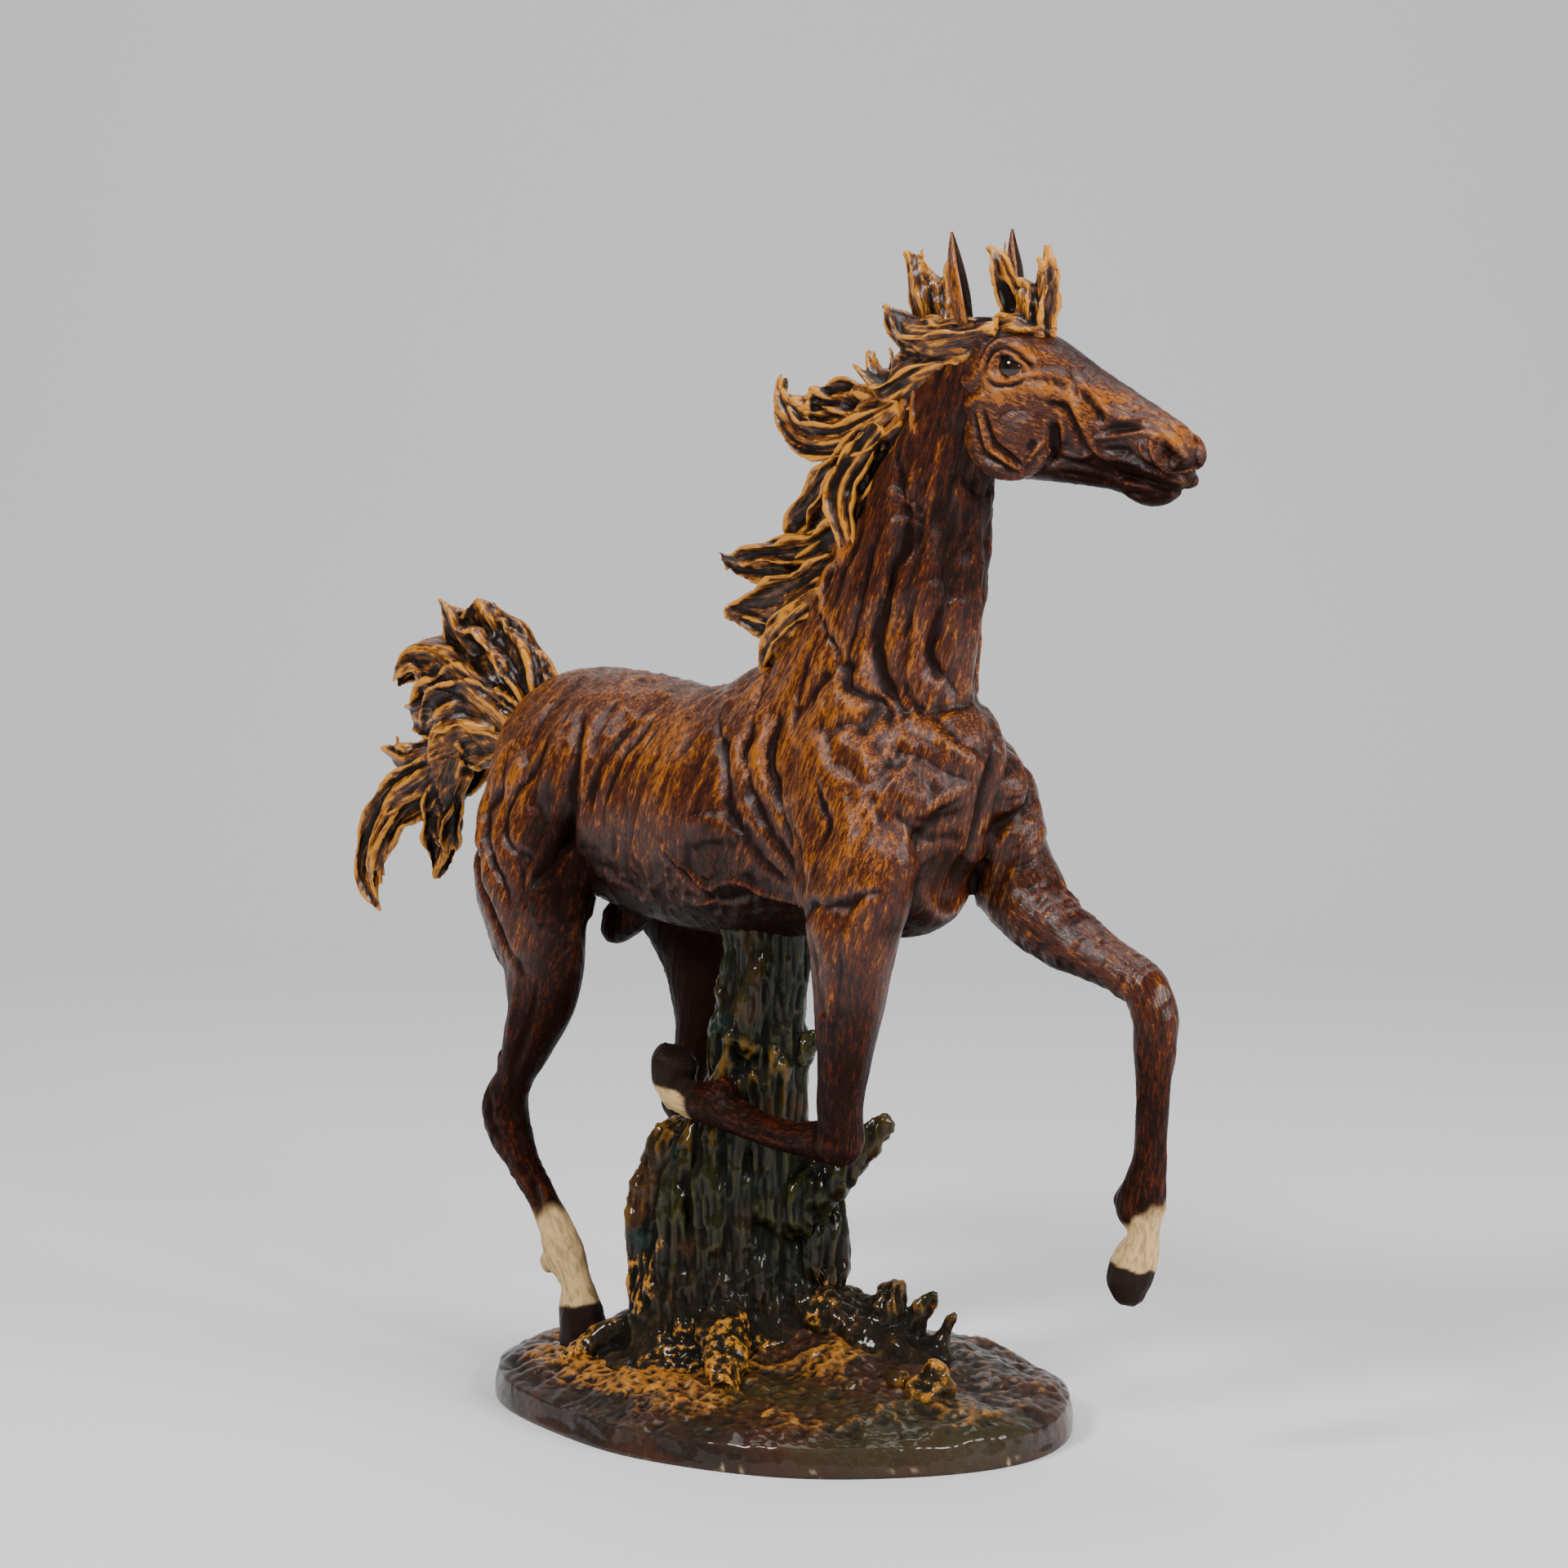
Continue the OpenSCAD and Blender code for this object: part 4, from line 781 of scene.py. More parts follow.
# Eye, cheek, nostril, mouth and veins seen from the side: (width, height, path in ahead and z)
HEAD_MARKS = [
    (3.1, -2.8, [(15, 323.6), (16.8, 323.9), (18.8, 323.4)]),
    (1.0, 1.2, [(7.5, 322.5), (10, 327.6), (14, 331), (18.8, 331), (23, 327.8), (25.8, 322.5)]),
    (0.7, -0.9, [(9.5, 323), (12, 327.6), (16, 329.4), (20.6, 328), (24, 323.8)]),
    (0.75, 0.9, [(11, 322.6), (13.2, 326.4), (16.6, 328), (20.2, 326.6), (23, 322.8)]),
    (0.75, 0.9, [(11, 322.3), (13.6, 319.9), (17.3, 319.2), (21.7, 321.2)]),
    (0.9, -0.7, [(10, 319.8), (14, 317.8), (18.5, 318.2), (22, 320)]),
    (2.6, -1.6, [(5, 328), (2, 325), (3, 320)]),
    (3.6, 1.2, [(19, 316.5), (25, 317.5), (30, 317)]),
    (1.3, 1.5, [(23, 321.5), (29, 321.5), (33.5, 319.5), (34.6, 315), (37, 310.5), (40.5, 306.5),
                (43, 301.5), (46, 297.5)]),
    (1.5, -1.5, [(38, 316.5), (42, 312.5), (45.5, 309.5)]),
    (1.5, 1.2, [(35.5, 321.5), (39.5, 318), (45, 313.5), (50, 310.5), (57, 310)]),
    (1.2, -1.0, [(28, 314), (33, 311.5), (37, 306), (40, 301)]),
    (0.9, 0.8, [(43, 304.5), (48.5, 305.5), (54, 306), (59, 305.7), (62.5, 304)]),
    (1.3, -0.9, [(46, 307.5), (51, 308), (57, 307.7)]),
    (1.3, -1.0, [(46, 301.5), (51, 301.5), (55, 300.5)]),
    (0.8, 0.7, [(56.5, 304), (57.5, 300.5), (60, 298)]),
    (2.2, -3.6, [(62.6, 302.2), (65.6, 300.2), (68.0, 297.4)]),
    (1.0, 1.2, [(60, 303.8), (64, 305.2), (67.5, 303), (69.2, 299.5), (69.2, 295.8), (66, 295.4),
                (62, 298.6), (60, 303.8)]),
    (0.75, -1.5, [(47.6, 295.6), (50, 293.7), (55, 293), (62, 291.2), (68, 289.8)]),
    (1.3, 1.0, [(46.5, 297.8), (51, 298), (57, 296.3), (64, 294.2)]),
    (1.1, 0.7, [(49, 291.3), (55, 290.2), (61, 288.6)]),
    (1.3, -0.9, [(50, 287.8), (54, 287.6), (57, 287)]),
    (0.9, 1.3, [(5.2, 311.5), (7, 307), (9.5, 302), (14, 298.6), (17.8, 295.8)]),
    (0.9, -1.1, [(7.5, 311.5), (9, 307.3), (11.5, 303), (15.3, 300), (19, 297)]),
    (0.9, -1.0, [(3.2, 310.5), (5, 305.5), (7.5, 300.5), (12, 296.8), (16, 294)]),
    (0.9, 1.1, [(27, 303.5), (23.5, 300), (20.5, 296.8)]),
    (1.1, -0.9, [(24.5, 304), (21.5, 301.3)]),
    (1.8, -1.3, [(29, 308), (28.5, 302), (26.5, 296)]),
    (1.0, 0.8, [(31, 309.5), (31.5, 305), (30.5, 301)]),
    (1.2, -1.0, [(30, 293.8), (38, 293.3), (44, 292.5)]),
    (1.0, 0.8, [(29, 299.5), (36, 299), (43, 300.5)]),
    (2.2, -1.0, [(0, 315), (4, 317), (8, 320)]),
    (1.5, 0.9, [(1, 312.5), (4.5, 314.5), (9, 315.5)]),
]


def head_parts():
    skull = tube(head_rows(SKULL), side=HEAD_LEFT, sides=44)
    jaw = tube(head_rows(JAW), side=HEAD_LEFT, sides=28)
    parts = [skull, jaw]
    for left in (-1, 1):
        blob = lambda f, s, z, r, a=0: ellipsoid(head_point(f, left * s, z), r, head_axes(a))
        parts += [
            blob(14, 7.5, 305, (15.3, 4.6, 13.8)),
            blob(16, 10.2, 327.5, (8.5, 3.6, 4.0), 10),
            blob(15.5, 9.2, 323.5, (4.8, 4.2, 4)),
            blob(27, 8, 317.5, (10, 3.6, 3.4), 14),
            blob(44, 3.6, 313.5, (17, 3, 3.6), 27),
            blob(65, 5.2, 300.5, (5.5, 3.6, 5.4), 30),
            blob(60, 3.4, 294.5, (10, 4.2, 3.8), 16),
            blob(6, 8, 333, (5, 4.5, 5)),
        ]
    parts.append(ellipsoid(head_point(65.3, 0, 294.3), (4.4, 5.6, 4.4), head_axes(20)))
    return parts


def sculpt_head(voxel):
    skin = fused(head_parts(), voxel)
    skin.relax(7)
    for view in ("head right", "head left"):
        strokes(skin, view, HEAD_MARKS)
    skin.relax(1)
    p = skin.points
    skin.push(0.10 * layered(p, 2.6, 12) + 0.05 * noise(p, 0.9, 13))
    return skin


# Lighter and darker parts of the face: (how much lighter, ahead, z, half length, half height)
FACE_SPOTS = (
    (0.45, 22, 317, 12, 5), (0.5, 66, 305, 10, 5), (0.45, 45, 315, 18, 4), (0.4, 16, 324, 12, 9),
    (-0.6, 60, 293, 18, 8), (-0.5, 38, 293, 12, 6), (-0.5, 5, 336, 10, 6),
)


def head_values(skin):
    p, n = skin.points, skin.normals()
    ahead = (p - HEAD_START) @ HEAD_AHEAD
    side = np.abs((p - HEAD_START) @ HEAD_LEFT)
    z = p[:, 2]
    spot = lambda u, h, ru, rh: np.exp(-(((ahead - u) / ru) ** 2 + ((z - h) / rh) ** 2))
    ochre_and_shade = 0.22 + sum(share * spot(*where) for share, *where in FACE_SPOTS)
    ochre_and_shade -= 0.55 * ease(n[:, 2], 0.55, 0.9) * ease(64 - ahead, 0, 10)
    # Painted shade on the parts of the head that face down
    ochre_and_shade -= 0.5 * ease(-n[:, 2], 0.0, 0.6)
    rim = np.abs(np.hypot((ahead - 13.5) / 15.2, (z - 304.5) / 13.8) - 0.93)
    ochre_and_shade += 0.40 * np.exp(-(rim / 0.07) ** 2) * (side > 7) * ease(310 - z, 0, 8)
    grain = np.stack([z * 0.9 + ahead * 0.35, side, ahead - z * 0.35], -1)
    relief = 0.6 * skin.relief(26, 0.8) + 0.4 * skin.relief(8, 0.25)
    return point_values(relief, grain, np.clip(ochre_and_shade + 0.16, -0.8, 1), 0.5 * spot(72, 290, 2.4, 1.6))


# ---------------------------------------------------------------- ears and eyes

EAR_RIGHT = [
    [81, -5, 330, 2.6, 2.6], [80, -6.5, 337, 3.4, 3], [79.3, -7.4, 344, 4.1, 3.2], [78.2, -8, 351, 3.7, 2.8],
    [77, -8, 357, 2.2, 1.8], [76, -8, 362.3, 0.4, 0.4],
]
EAR_LEFT = [
    [87, 5, 331, 2.6, 2.6], [87, 7, 338, 3.2, 2.8], [86.4, 8.3, 345, 3.7, 3], [85.4, 9, 352, 3.2, 2.6],
    [84.5, 9, 358, 1.9, 1.6], [84, 9, 363.2, 0.4, 0.4],
]


def ear_piece(name, rows, opening):
    """A leaf rolled into a cup: an outer arc and a shallower inner arc, from a thick root to a point."""
    rows = smooth_rows(rows, 8)
    count = len(rows)
    look = unit(np.array(opening, float))
    side = unit(np.cross([0, 0, 1.0], look))
    arc = 17
    a = np.linspace(0, math.pi, arc)
    outer = np.stack([np.cos(a), -np.sin(a)], -1)
    inner = np.stack([0.86 * np.cos(a[::-1][1:-1]), -0.35 * np.sin(a[::-1][1:-1])], -1)
    ring = np.vstack([outer, inner])
    t = np.linspace(0, 1, count)
    hollow = ease(t, 0.12, 0.35)[:, None]
    shape = np.repeat(ring[None], count, axis=0)
    shape[:, arc:, 1] = ring[None, arc:, 1] * hollow + (1 - hollow) * 0.5 * np.abs(ring[None, arc:, 1])
    rings = (rows[:, None, :3] + side * (shape[..., 0:1] * rows[:, None, 3:4])
             + look * (shape[..., 1:2] * rows[:, None, 4:5] * 1.5 + rows[:, None, 4:5] * 0.5))
    points, quads, ends = closed_rings(rings)
    if volume(points, quads, ends) < 0:
        quads, ends = quads[:, ::-1], ends[:, ::-1]
    edge = np.full((count, len(ring)), 0.3)
    edge[:, [0, 1, arc - 2, arc - 1]] = 1
    edge[:, arc:] = -0.9
    relief = np.concatenate([edge.ravel(), [0, 0]])
    return mesh_object(name, points, quads, ends, values=point_values(relief, points, 0.45))


def volume(points, quads, ends):
    """Six times the enclosed volume; negative when the faces point inwards."""
    tris = np.vstack([quads[:, [0, 1, 2]], quads[:, [0, 2, 3]], ends])
    a, b, c = (points[tris[:, k]] for k in range(3))
    return (a * np.cross(b, c)).sum()


def eye_piece(name, left, skin, material):
    """A glossy ball set into the socket, standing a little proud of the skin round it."""
    place = head_plane(skin.points)
    outward = (skin.points - HEAD_START) @ HEAD_LEFT * left
    near = (np.linalg.norm(place - EYE_SPOT, axis=1) < 2.6) & (outward > 0)
    middle = head_point(EYE_SPOT[0], left * (outward[near].mean() - 1.0), EYE_SPOT[1])
    points, quads, ends = ellipsoid(middle, (4.3, 3.3, 3.8), head_axes(8), sides=40)
    return finish_piece(mesh_object(name, points, quads, ends), material, "coat")


# ---------------------------------------------------------------- hair

# A lock's rows run from its root to its tip
FORELOCK = [
    [[98, 3, 330, 5, 6, 6], [95, 2, 340, 5, 5.5, 5.5], [90, 1, 349, 3, 3.4, 3.4], [86, 0, 359, 0.8, 1, 1]],
    [[98, 3, 330, 4, 5, 5], [101, 3, 340, 3.4, 4, 4], [103, 2, 349, 2.6, 3, 3], [108, 0, 357, 0.8, 1, 1]],
    [[98, 3, 330, 4, 5, 5], [98, 2, 341, 3.4, 3.6, 3.6], [97, 1, 349, 1, 1.2, 1.2]],
    [[84, -3, 328, 4, 4, 4], [89, -3, 333, 4, 4.5, 4.5], [95, -1, 335, 4, 4.5, 4.5],
     [102, 2, 332, 1.5, 2, 2]],
    [[82, 4, 330, 4, 4, 4], [88, 4, 334, 4, 4.5, 4.5], [96, 5, 333, 1.5, 2, 2]],
]
POLL_TUFT = [
    [[68, -1, 326, 5, 7, 7], [61, -1, 338, 4, 6, 6], [57, 0, 348, 3, 4.6, 4.6], [54, 0, 358, 0.8, 1, 1]],
    [[72, 0, 328, 4, 5, 5], [68, 0, 341, 3, 3.5, 3.5], [65, 0, 354, 0.8, 1, 1]],
]
MANE_CREST = [
    [[92, -6, 334, 3, 4, 4], [80, -8, 332, 4.5, 6, 6], [66, -8, 331, 5, 7, 7], [54, -6, 333, 3.5, 5.5, 5.5],
     [43, -4, 339.5, 0.8, 1, 1]],
    [[76, -6, 325, 5, 6, 6], [64, -7, 321, 6, 8, 8], [52, -6, 316, 6, 8, 8], [44, -5, 320, 3.5, 4.5, 4.5],
     [37, -4, 326, 0.8, 1, 1]],
]
MANE_UPPER = [
    [[58, -8, 312, 5, 7, 7], [45, -8, 306, 5, 8, 8], [31, -7, 302, 5.5, 7.5, 8], [16, -6, 303, 5, 7, 7.5],
     [6, -6, 311, 3.5, 5, 5], [2, -6, 320, 0.8, 1, 1]],
    [[54, -6, 314, 4, 5, 5], [42, -5, 311, 4.5, 5, 5], [29, -4, 314, 4, 4.5, 4.5],
     [15, -4, 314, 1, 1.5, 1.5]],
]
MANE_MIDDLE = [
    [[52, -9, 304, 4, 5, 6], [38, -9, 292, 5, 8, 9], [25, -8, 280, 5, 8, 9], [14, -7, 271, 3, 5, 6],
     [8, -7, 265, 1, 1.2, 1.2]],
    [[52, -12, 306, 3, 3, 3], [41, -12, 294, 3.5, 4, 4], [38, -13, 281, 3.5, 4, 4],
     [42, -13, 268, 1, 1.2, 1.2]],
]
MANE_LOWER = [
    [[42, -10, 276, 5, 7, 7], [28, -9, 268, 5.5, 8, 8], [10, -8, 264, 5, 7, 7], [-8, -7, 263, 3.5, 4.5, 5],
     [-22.5, -6, 263, 1, 1.5, 1.5]],
    [[34, -9, 264, 5, 7, 7], [18, -9, 255, 5, 7, 7], [0, -8, 250, 4.5, 7, 7], [-16, -8, 251, 1, 2, 2]],
    [[30, -10, 258, 4, 5, 5], [14, -11, 249, 4, 5, 5], [5, -11, 240, 3.5, 4, 4], [-2, -9, 230, 1, 1.2, 1.2]],
]
TAIL_UPPER = [
    [[-106, 0, 200, 7, 8, 8], [-118, -1, 220, 7, 9, 8], [-127, -2, 236, 4.5, 7, 6],
     [-135, -4, 248, 0.8, 1, 1]],
    [[-110, 0, 202, 8, 10, 10], [-134, -5, 213, 9, 12, 12], [-150, -8, 209, 7, 10, 10],
     [-165, -9, 205, 2, 4, 4]],
    [[-106, 0, 200, 7, 9, 9], [-112, -1, 216, 7, 9, 9], [-117, -2, 229, 5, 7, 7], [-122, -3, 239, 0.8, 1, 1]],
    [[-108, 0, 202, 8, 10, 10], [-123, -3, 222, 8, 12, 12], [-134, -4, 234, 5, 9, 9],
     [-141, -5, 244, 0.8, 1, 1]],
    [[-108, 0, 202, 7, 8, 8], [-128, -4, 224, 8, 9, 9], [-142, -5, 235, 5, 7, 7],
     [-150, -6, 247, 0.8, 1.2, 1.2]],
    [[-110, 0, 202, 7, 9, 9], [-130, -5, 216, 9, 12, 12], [-147, -8, 225, 7, 10, 10],
     [-161, -9, 226, 5, 7, 7], [-171, -10, 221, 1.2, 2, 2]],
]
TAIL_LOWER = [
    [[-124, -4, 204, 6, 9, 9], [-142, -7, 204, 8, 13, 13], [-150, -9, 190, 7, 11, 11],
     [-150, -9, 177, 3, 4, 4]],
    [[-138, -8, 200, 5, 8, 8], [-154, -10, 194, 5, 7, 7], [-166, -11, 192, 3.5, 4.5, 4.5],
     [-175, -12, 198, 0.8, 1, 1]],
    [[-144, -8, 194, 5, 7, 7], [-157, -11, 184, 5.5, 8, 8], [-169, -13, 177, 5, 7.5, 7.5],
     [-176, -15, 166, 4, 6.5, 6.5], [-179, -16, 153, 3, 5, 5], [-175, -16, 141, 0.8, 1, 1]],
    [[-142, -8, 192, 4.5, 6, 6], [-149, -8, 178, 4.5, 6, 6], [-152, -8, 165, 3.5, 5, 5],
     [-153, -8, 153, 0.8, 1.2, 1.2]],
]


LOCK_STRANDS = 3


def leaf(rows, number, sides=64, steps=14):
    """One lock: a long leaf, scooped like a spoon, with raised rims and strands along it.

    Across the leaf, from -1 to 1, the thickness is half the side radius plus a rim and a row of ridges.
    Along it the middle line sways, the leaf twists, and its tip hooks over.
    """
    rng = np.random.default_rng(number)
    phase, twist, lean = rng.uniform(0, 6.28), rng.uniform(-0.9, 0.9), rng.uniform(-0.35, 0.35)
    hook_side = rng.choice([-1.0, 1.0])
    rows = smooth_rows(rows, steps)
    t = np.linspace(0, 1, len(rows))
    rows[:, 4:] *= 1 + 0.18 * np.sin(t * math.pi)[:, None]
    _, side, front = section_frames(rows, ACROSS)
    girth = np.minimum(rows[:, 4], 7)
    rows[:, :3] += (front * (girth * 0.25 * np.sin(t * 8 + phase) * t)[:, None]
                    + side * (girth * 0.40 * np.sin(t * 6 + phase * 2) * t)[:, None]
                    + front * (hook_side * 2.6 * ease(t, 0.74, 1.0) ** 1.5)[:, None]
                    + side * (rng.uniform(-2.5, 2.5) * ease(t, 0.5, 1.0))[:, None])
    _, side, front = section_frames(rows, ACROSS)
    turn = (lean + twist * t)[:, None]
    side, front = side * np.cos(turn) + front * np.sin(turn), front * np.cos(turn) - side * np.sin(turn)
    a = np.arange(sides) / sides * 2 * math.pi
    width = np.sin(a)[None]
    wander = (0.5 * np.sin(t * 5 + phase) + 0.2 * np.sin(t * 17 + phase))[:, None]
    spread = (1 + 0.2 * np.sin(t * 3 + phase))[:, None]
    ridge = (0.5 + 0.5 * np.cos(width * LOCK_STRANDS * math.pi / 2 * spread + wander)) ** 1.6
    rim = ease(np.abs(width), 0.66, 0.93)
    swell = 1 + 0.10 * np.sin(t * 21 + phase * 3)[:, None] * rim
    thick = np.cos(a)[None] * (0.26 + 0.32 * ridge + 0.48 * rim)
    scoop = (0.8 * np.abs(width) ** 2 - 0.35) * np.sign(lean + 0.01)
    depth = np.where(np.sin(a)[None] > 0, rows[:, 4:5], rows[:, 5:6])
    rings = (rows[:, None, :3] + side[:, None] * (rows[:, 3:4] * (thick + scoop))[..., None]
             + front[:, None] * (depth * width * swell)[..., None])
    return closed_rings(rings)


def offshoots(rows, number, count):
    """Smaller leaves that part from a main one along its length, each to its own side."""
    rows = as_array(rows)
    rng = np.random.default_rng(100 + number)
    t = np.linspace(0, 1, len(rows))[:, None]
    made = []
    for k in range(count):
        spread = rng.uniform(-1, 1, 3) * [0.35, 0.75, 0.8]
        branch = rows.copy()
        branch[:, :3] += spread * rows[:, 4:5] * (0.5 + 0.45 * t)
        branch[:, 3:] *= 0.60
        reach = 1 - 0.17 * (k + rng.uniform(0, 0.6))
        branch[1:, :3] = branch[:1, :3] + (branch[1:, :3] - branch[:1, :3]) * reach
        made.append(branch.tolist())
    return made


def hair_piece(name, group, seed, voxel, material, node):
    """Leaves and their offshoots fused into one skin and chased along the locks.

    The paint is darker at the forelock's root and along the upper tail.
    """
    parts, number = [], seed
    for rows in group:
        for k, r in enumerate([rows] + offshoots(rows, number, 2)):
            number += 1
            parts.append(leaf(r, number))
    skin = fused(parts, voxel)
    skin.relax(2)
    lines = [smooth_rows(rows, 6)[:, :3] for rows in group]
    grain = np.zeros_like(skin.points)
    nearest = np.full(len(skin.points), 1e9)
    for k, (rows, line) in enumerate(zip(group, lines)):
        gap = np.min([np.linalg.norm(skin.points - q, axis=1) for q in line], axis=0)
        mine = gap < nearest
        nearest[mine] = gap[mine]
        grain[mine] = limb_grain(skin.points[mine], rows) + k * 23
    skin.push(0.24 * chased(grain * [1, 1, 0.14], 2.0, seed + 3) + 0.30 * layered(skin.points, 5.0, seed, 2))
    relief = 0.72 * skin.relief(26, 0.9) + 0.28 * skin.relief(5, 0.2)
    root = ease(338 - skin.points[:, 2], 0, 8) * ease(skin.points[:, 0], 82, 90)
    ochre_and_shade = 0.42 + 0.25 * ease(layered(skin.points, 14.0, seed + 9, 2), -0.4, 0.6) - 0.7 * root
    ochre_and_shade -= 0.25 * ease(skin.points[:, 0] * 0.8 + skin.points[:, 2], 110, 130) * (skin.points[:, 0] < -80)
    finish_parts(skin, point_values(relief, grain, ochre_and_shade), ((name, "hair", node),), material)


# ---------------------------------------------------------------- trunk, roots, ground

TRUNK_SIDE = np.array([-math.sin(math.pi / 4), math.cos(math.pi / 4), 0])
TRUNK = [
    [-22, 0, 14, 30, 44, 44], [-22, 0, 20, 25, 38, 37], [-23, 0, 28, 21.5, 33, 32],
    [-23, 0, 40, 19.5, 30, 29],
    [-23, 0, 52, 19, 29, 29], [-21, 0, 66, 18, 28, 28],
    [-18, 0, 78, 16, 24, 24], [-15, 0, 90, 14, 18.5, 18.5], [-12, 0, 102, 13, 15.5, 15],
    [-12, 0, 116, 12, 14.5, 14.5],
    [-10, 0, 130, 11.5, 13.5, 13.5], [-7, 0, 142, 11, 13, 13], [-7, 0, 153.5, 11.5, 14, 14],
]
BRANCHES = [
    [[-8, 4, 60, 8, 10, 10], [4, 8, 70, 7, 9, 9], [12, 14, 79, 6, 6.5, 7], [19, 19, 87, 4.5, 5, 5],
     [24, 22, 93.5, 2.4, 2.6, 2.6]],
    [[-2, 4, 66, 5, 6, 6], [10, 8, 71, 3.2, 3.6, 3.6], [16, 11, 74, 1.8, 2, 2]],
    [[-8, 4, 106, 5, 6, 6], [0, 7, 113, 3.2, 3.4, 3.4], [6, 9, 119, 1.8, 2, 2]],
]
ROOTS = [
    [[-8, 8, 33, 11, 13, 13], [8, 15, 29, 11, 10, 11], [24, 20, 24, 12, 9, 10], [38, 26, 17, 11, 6, 8],
     [52, 32, 9, 6, 3, 5]],
    [[23, 18, 24, 7, 8, 8], [25, 19, 33, 5.5, 7, 6.5], [27, 20, 39, 4, 5, 4.5],
     [29, 21, 43.5, 1.5, 1.6, 1.6]],
    [[31, 22, 22, 6, 6, 6], [33, 24, 31, 3.8, 4.4, 4], [36, 26, 37, 2.6, 2.8, 2.8],
     [39, 27, 41, 1.2, 1.2, 1.2]],
    [[38, 26, 15, 5, 6, 6], [40, 28, 25, 3.2, 3.8, 3.6], [42, 30, 31, 2, 2.2, 2.2], [44, 31, 34, 1, 1, 1]],
    [[-12, -14, 28, 9, 9, 9], [-1, -24, 23, 7, 6, 6], [8, -34, 15, 4, 4, 4]],
    [[-40, -10, 26, 8, 9, 9], [-52, -24, 20, 6, 5, 6], [-60, -38, 12, 4, 3, 4]],
]
# Stones are [x, y, z, radius]
ROCKS = [[60, 2, 17, 8], [46, 4, 18, 5.5], [36, -8, 16.5, 5.5], [32, -36, 10, 6], [-8, -46, 10, 6]]
# Knots and lobes of the trunk seen from its right: (width, height, path in x and z)
TIMBER_MARKS = [
    (2.4, -3.4, [(-20, 128), (-19, 124)]),
    (1.6, 1.8, [(-24, 131), (-20, 134), (-15, 129), (-15, 121), (-20, 118)]),
    (3.2, -2.6, [(-8, 112), (-6, 106)]), (2.0, 2.0, [(-14, 116), (-8, 119), (-1, 113), (0, 104)]),
    (2.2, 2.2, [(-26, 96), (-34, 92), (-42, 82), (-45, 66), (-44, 46)]),
    (2.6, -2.4, [(-28, 88), (-33, 78), (-35, 62), (-34, 44)]),
    (2.0, -2.6, [(-20, 92), (-22, 76), (-20, 58), (-22, 40)]),
    (2.2, 1.8, [(-14, 96), (-15, 78), (-13, 60), (-16, 42)]),
    (2.0, -2.2, [(-4, 88), (-6, 70), (-4, 52), (-8, 38)]),
    (2.2, 1.8, [(4, 76), (4, 60), (6, 46), (12, 36)]),
    (2.0, -2.0, [(-12, 150), (-10, 138), (-13, 126), (-18, 112), (-22, 100)]),
    (2.2, 2.0, [(-5, 150), (-4, 138), (-6, 126), (-11, 114), (-15, 102)]),
]
# The base: its half length and half width, and the heights of its rim, its shelf and its mound
BASE_HALF = (101.0, 70.0)
RIM = 7.0
SHELF = 18.0
MOUND = 27.0
BROW = 0.985        # share of the way out at which the top turns down into the rim
BASE_WALL = 4
GROUND_SIDES = 520


def edge_radius(a):
    """The base's uneven oval outline: an ellipse with a few slow waves."""
    e = 1 / np.sqrt((np.cos(a) / BASE_HALF[0]) ** 2 + (np.sin(a) / BASE_HALF[1]) ** 2)
    return e * (1 - 0.058 * np.cos(a) + 0.07 * np.sin(a) - 0.03 * np.cos(2 * a) + 0.05 * np.sin(2 * a)
                - 0.036 * np.cos(3 * a) + 0.006 * np.sin(7 * a + 0.52))


def ground(x, y):
    """Height of the ground: a mound under the trunk, a shelf round it and a fall to the rim."""
    a = np.arctan2(y, x)
    far = np.hypot(x, y) / edge_radius(a)
    slope = np.clip(1 - far * far, 0, 1)
    near_trunk = np.exp(-(((x + 14) / 40) ** 2 + ((y - 4) / 30) ** 2))
    return (RIM + (SHELF - RIM) * np.sqrt(slope) * (1 + 0.3 * np.sin(a)) + (MOUND - SHELF) * near_trunk
            + 0.9 * np.sin(np.radians(7 * x + 3 * y)) * slope * np.sin(np.radians(5 * y - 20)))


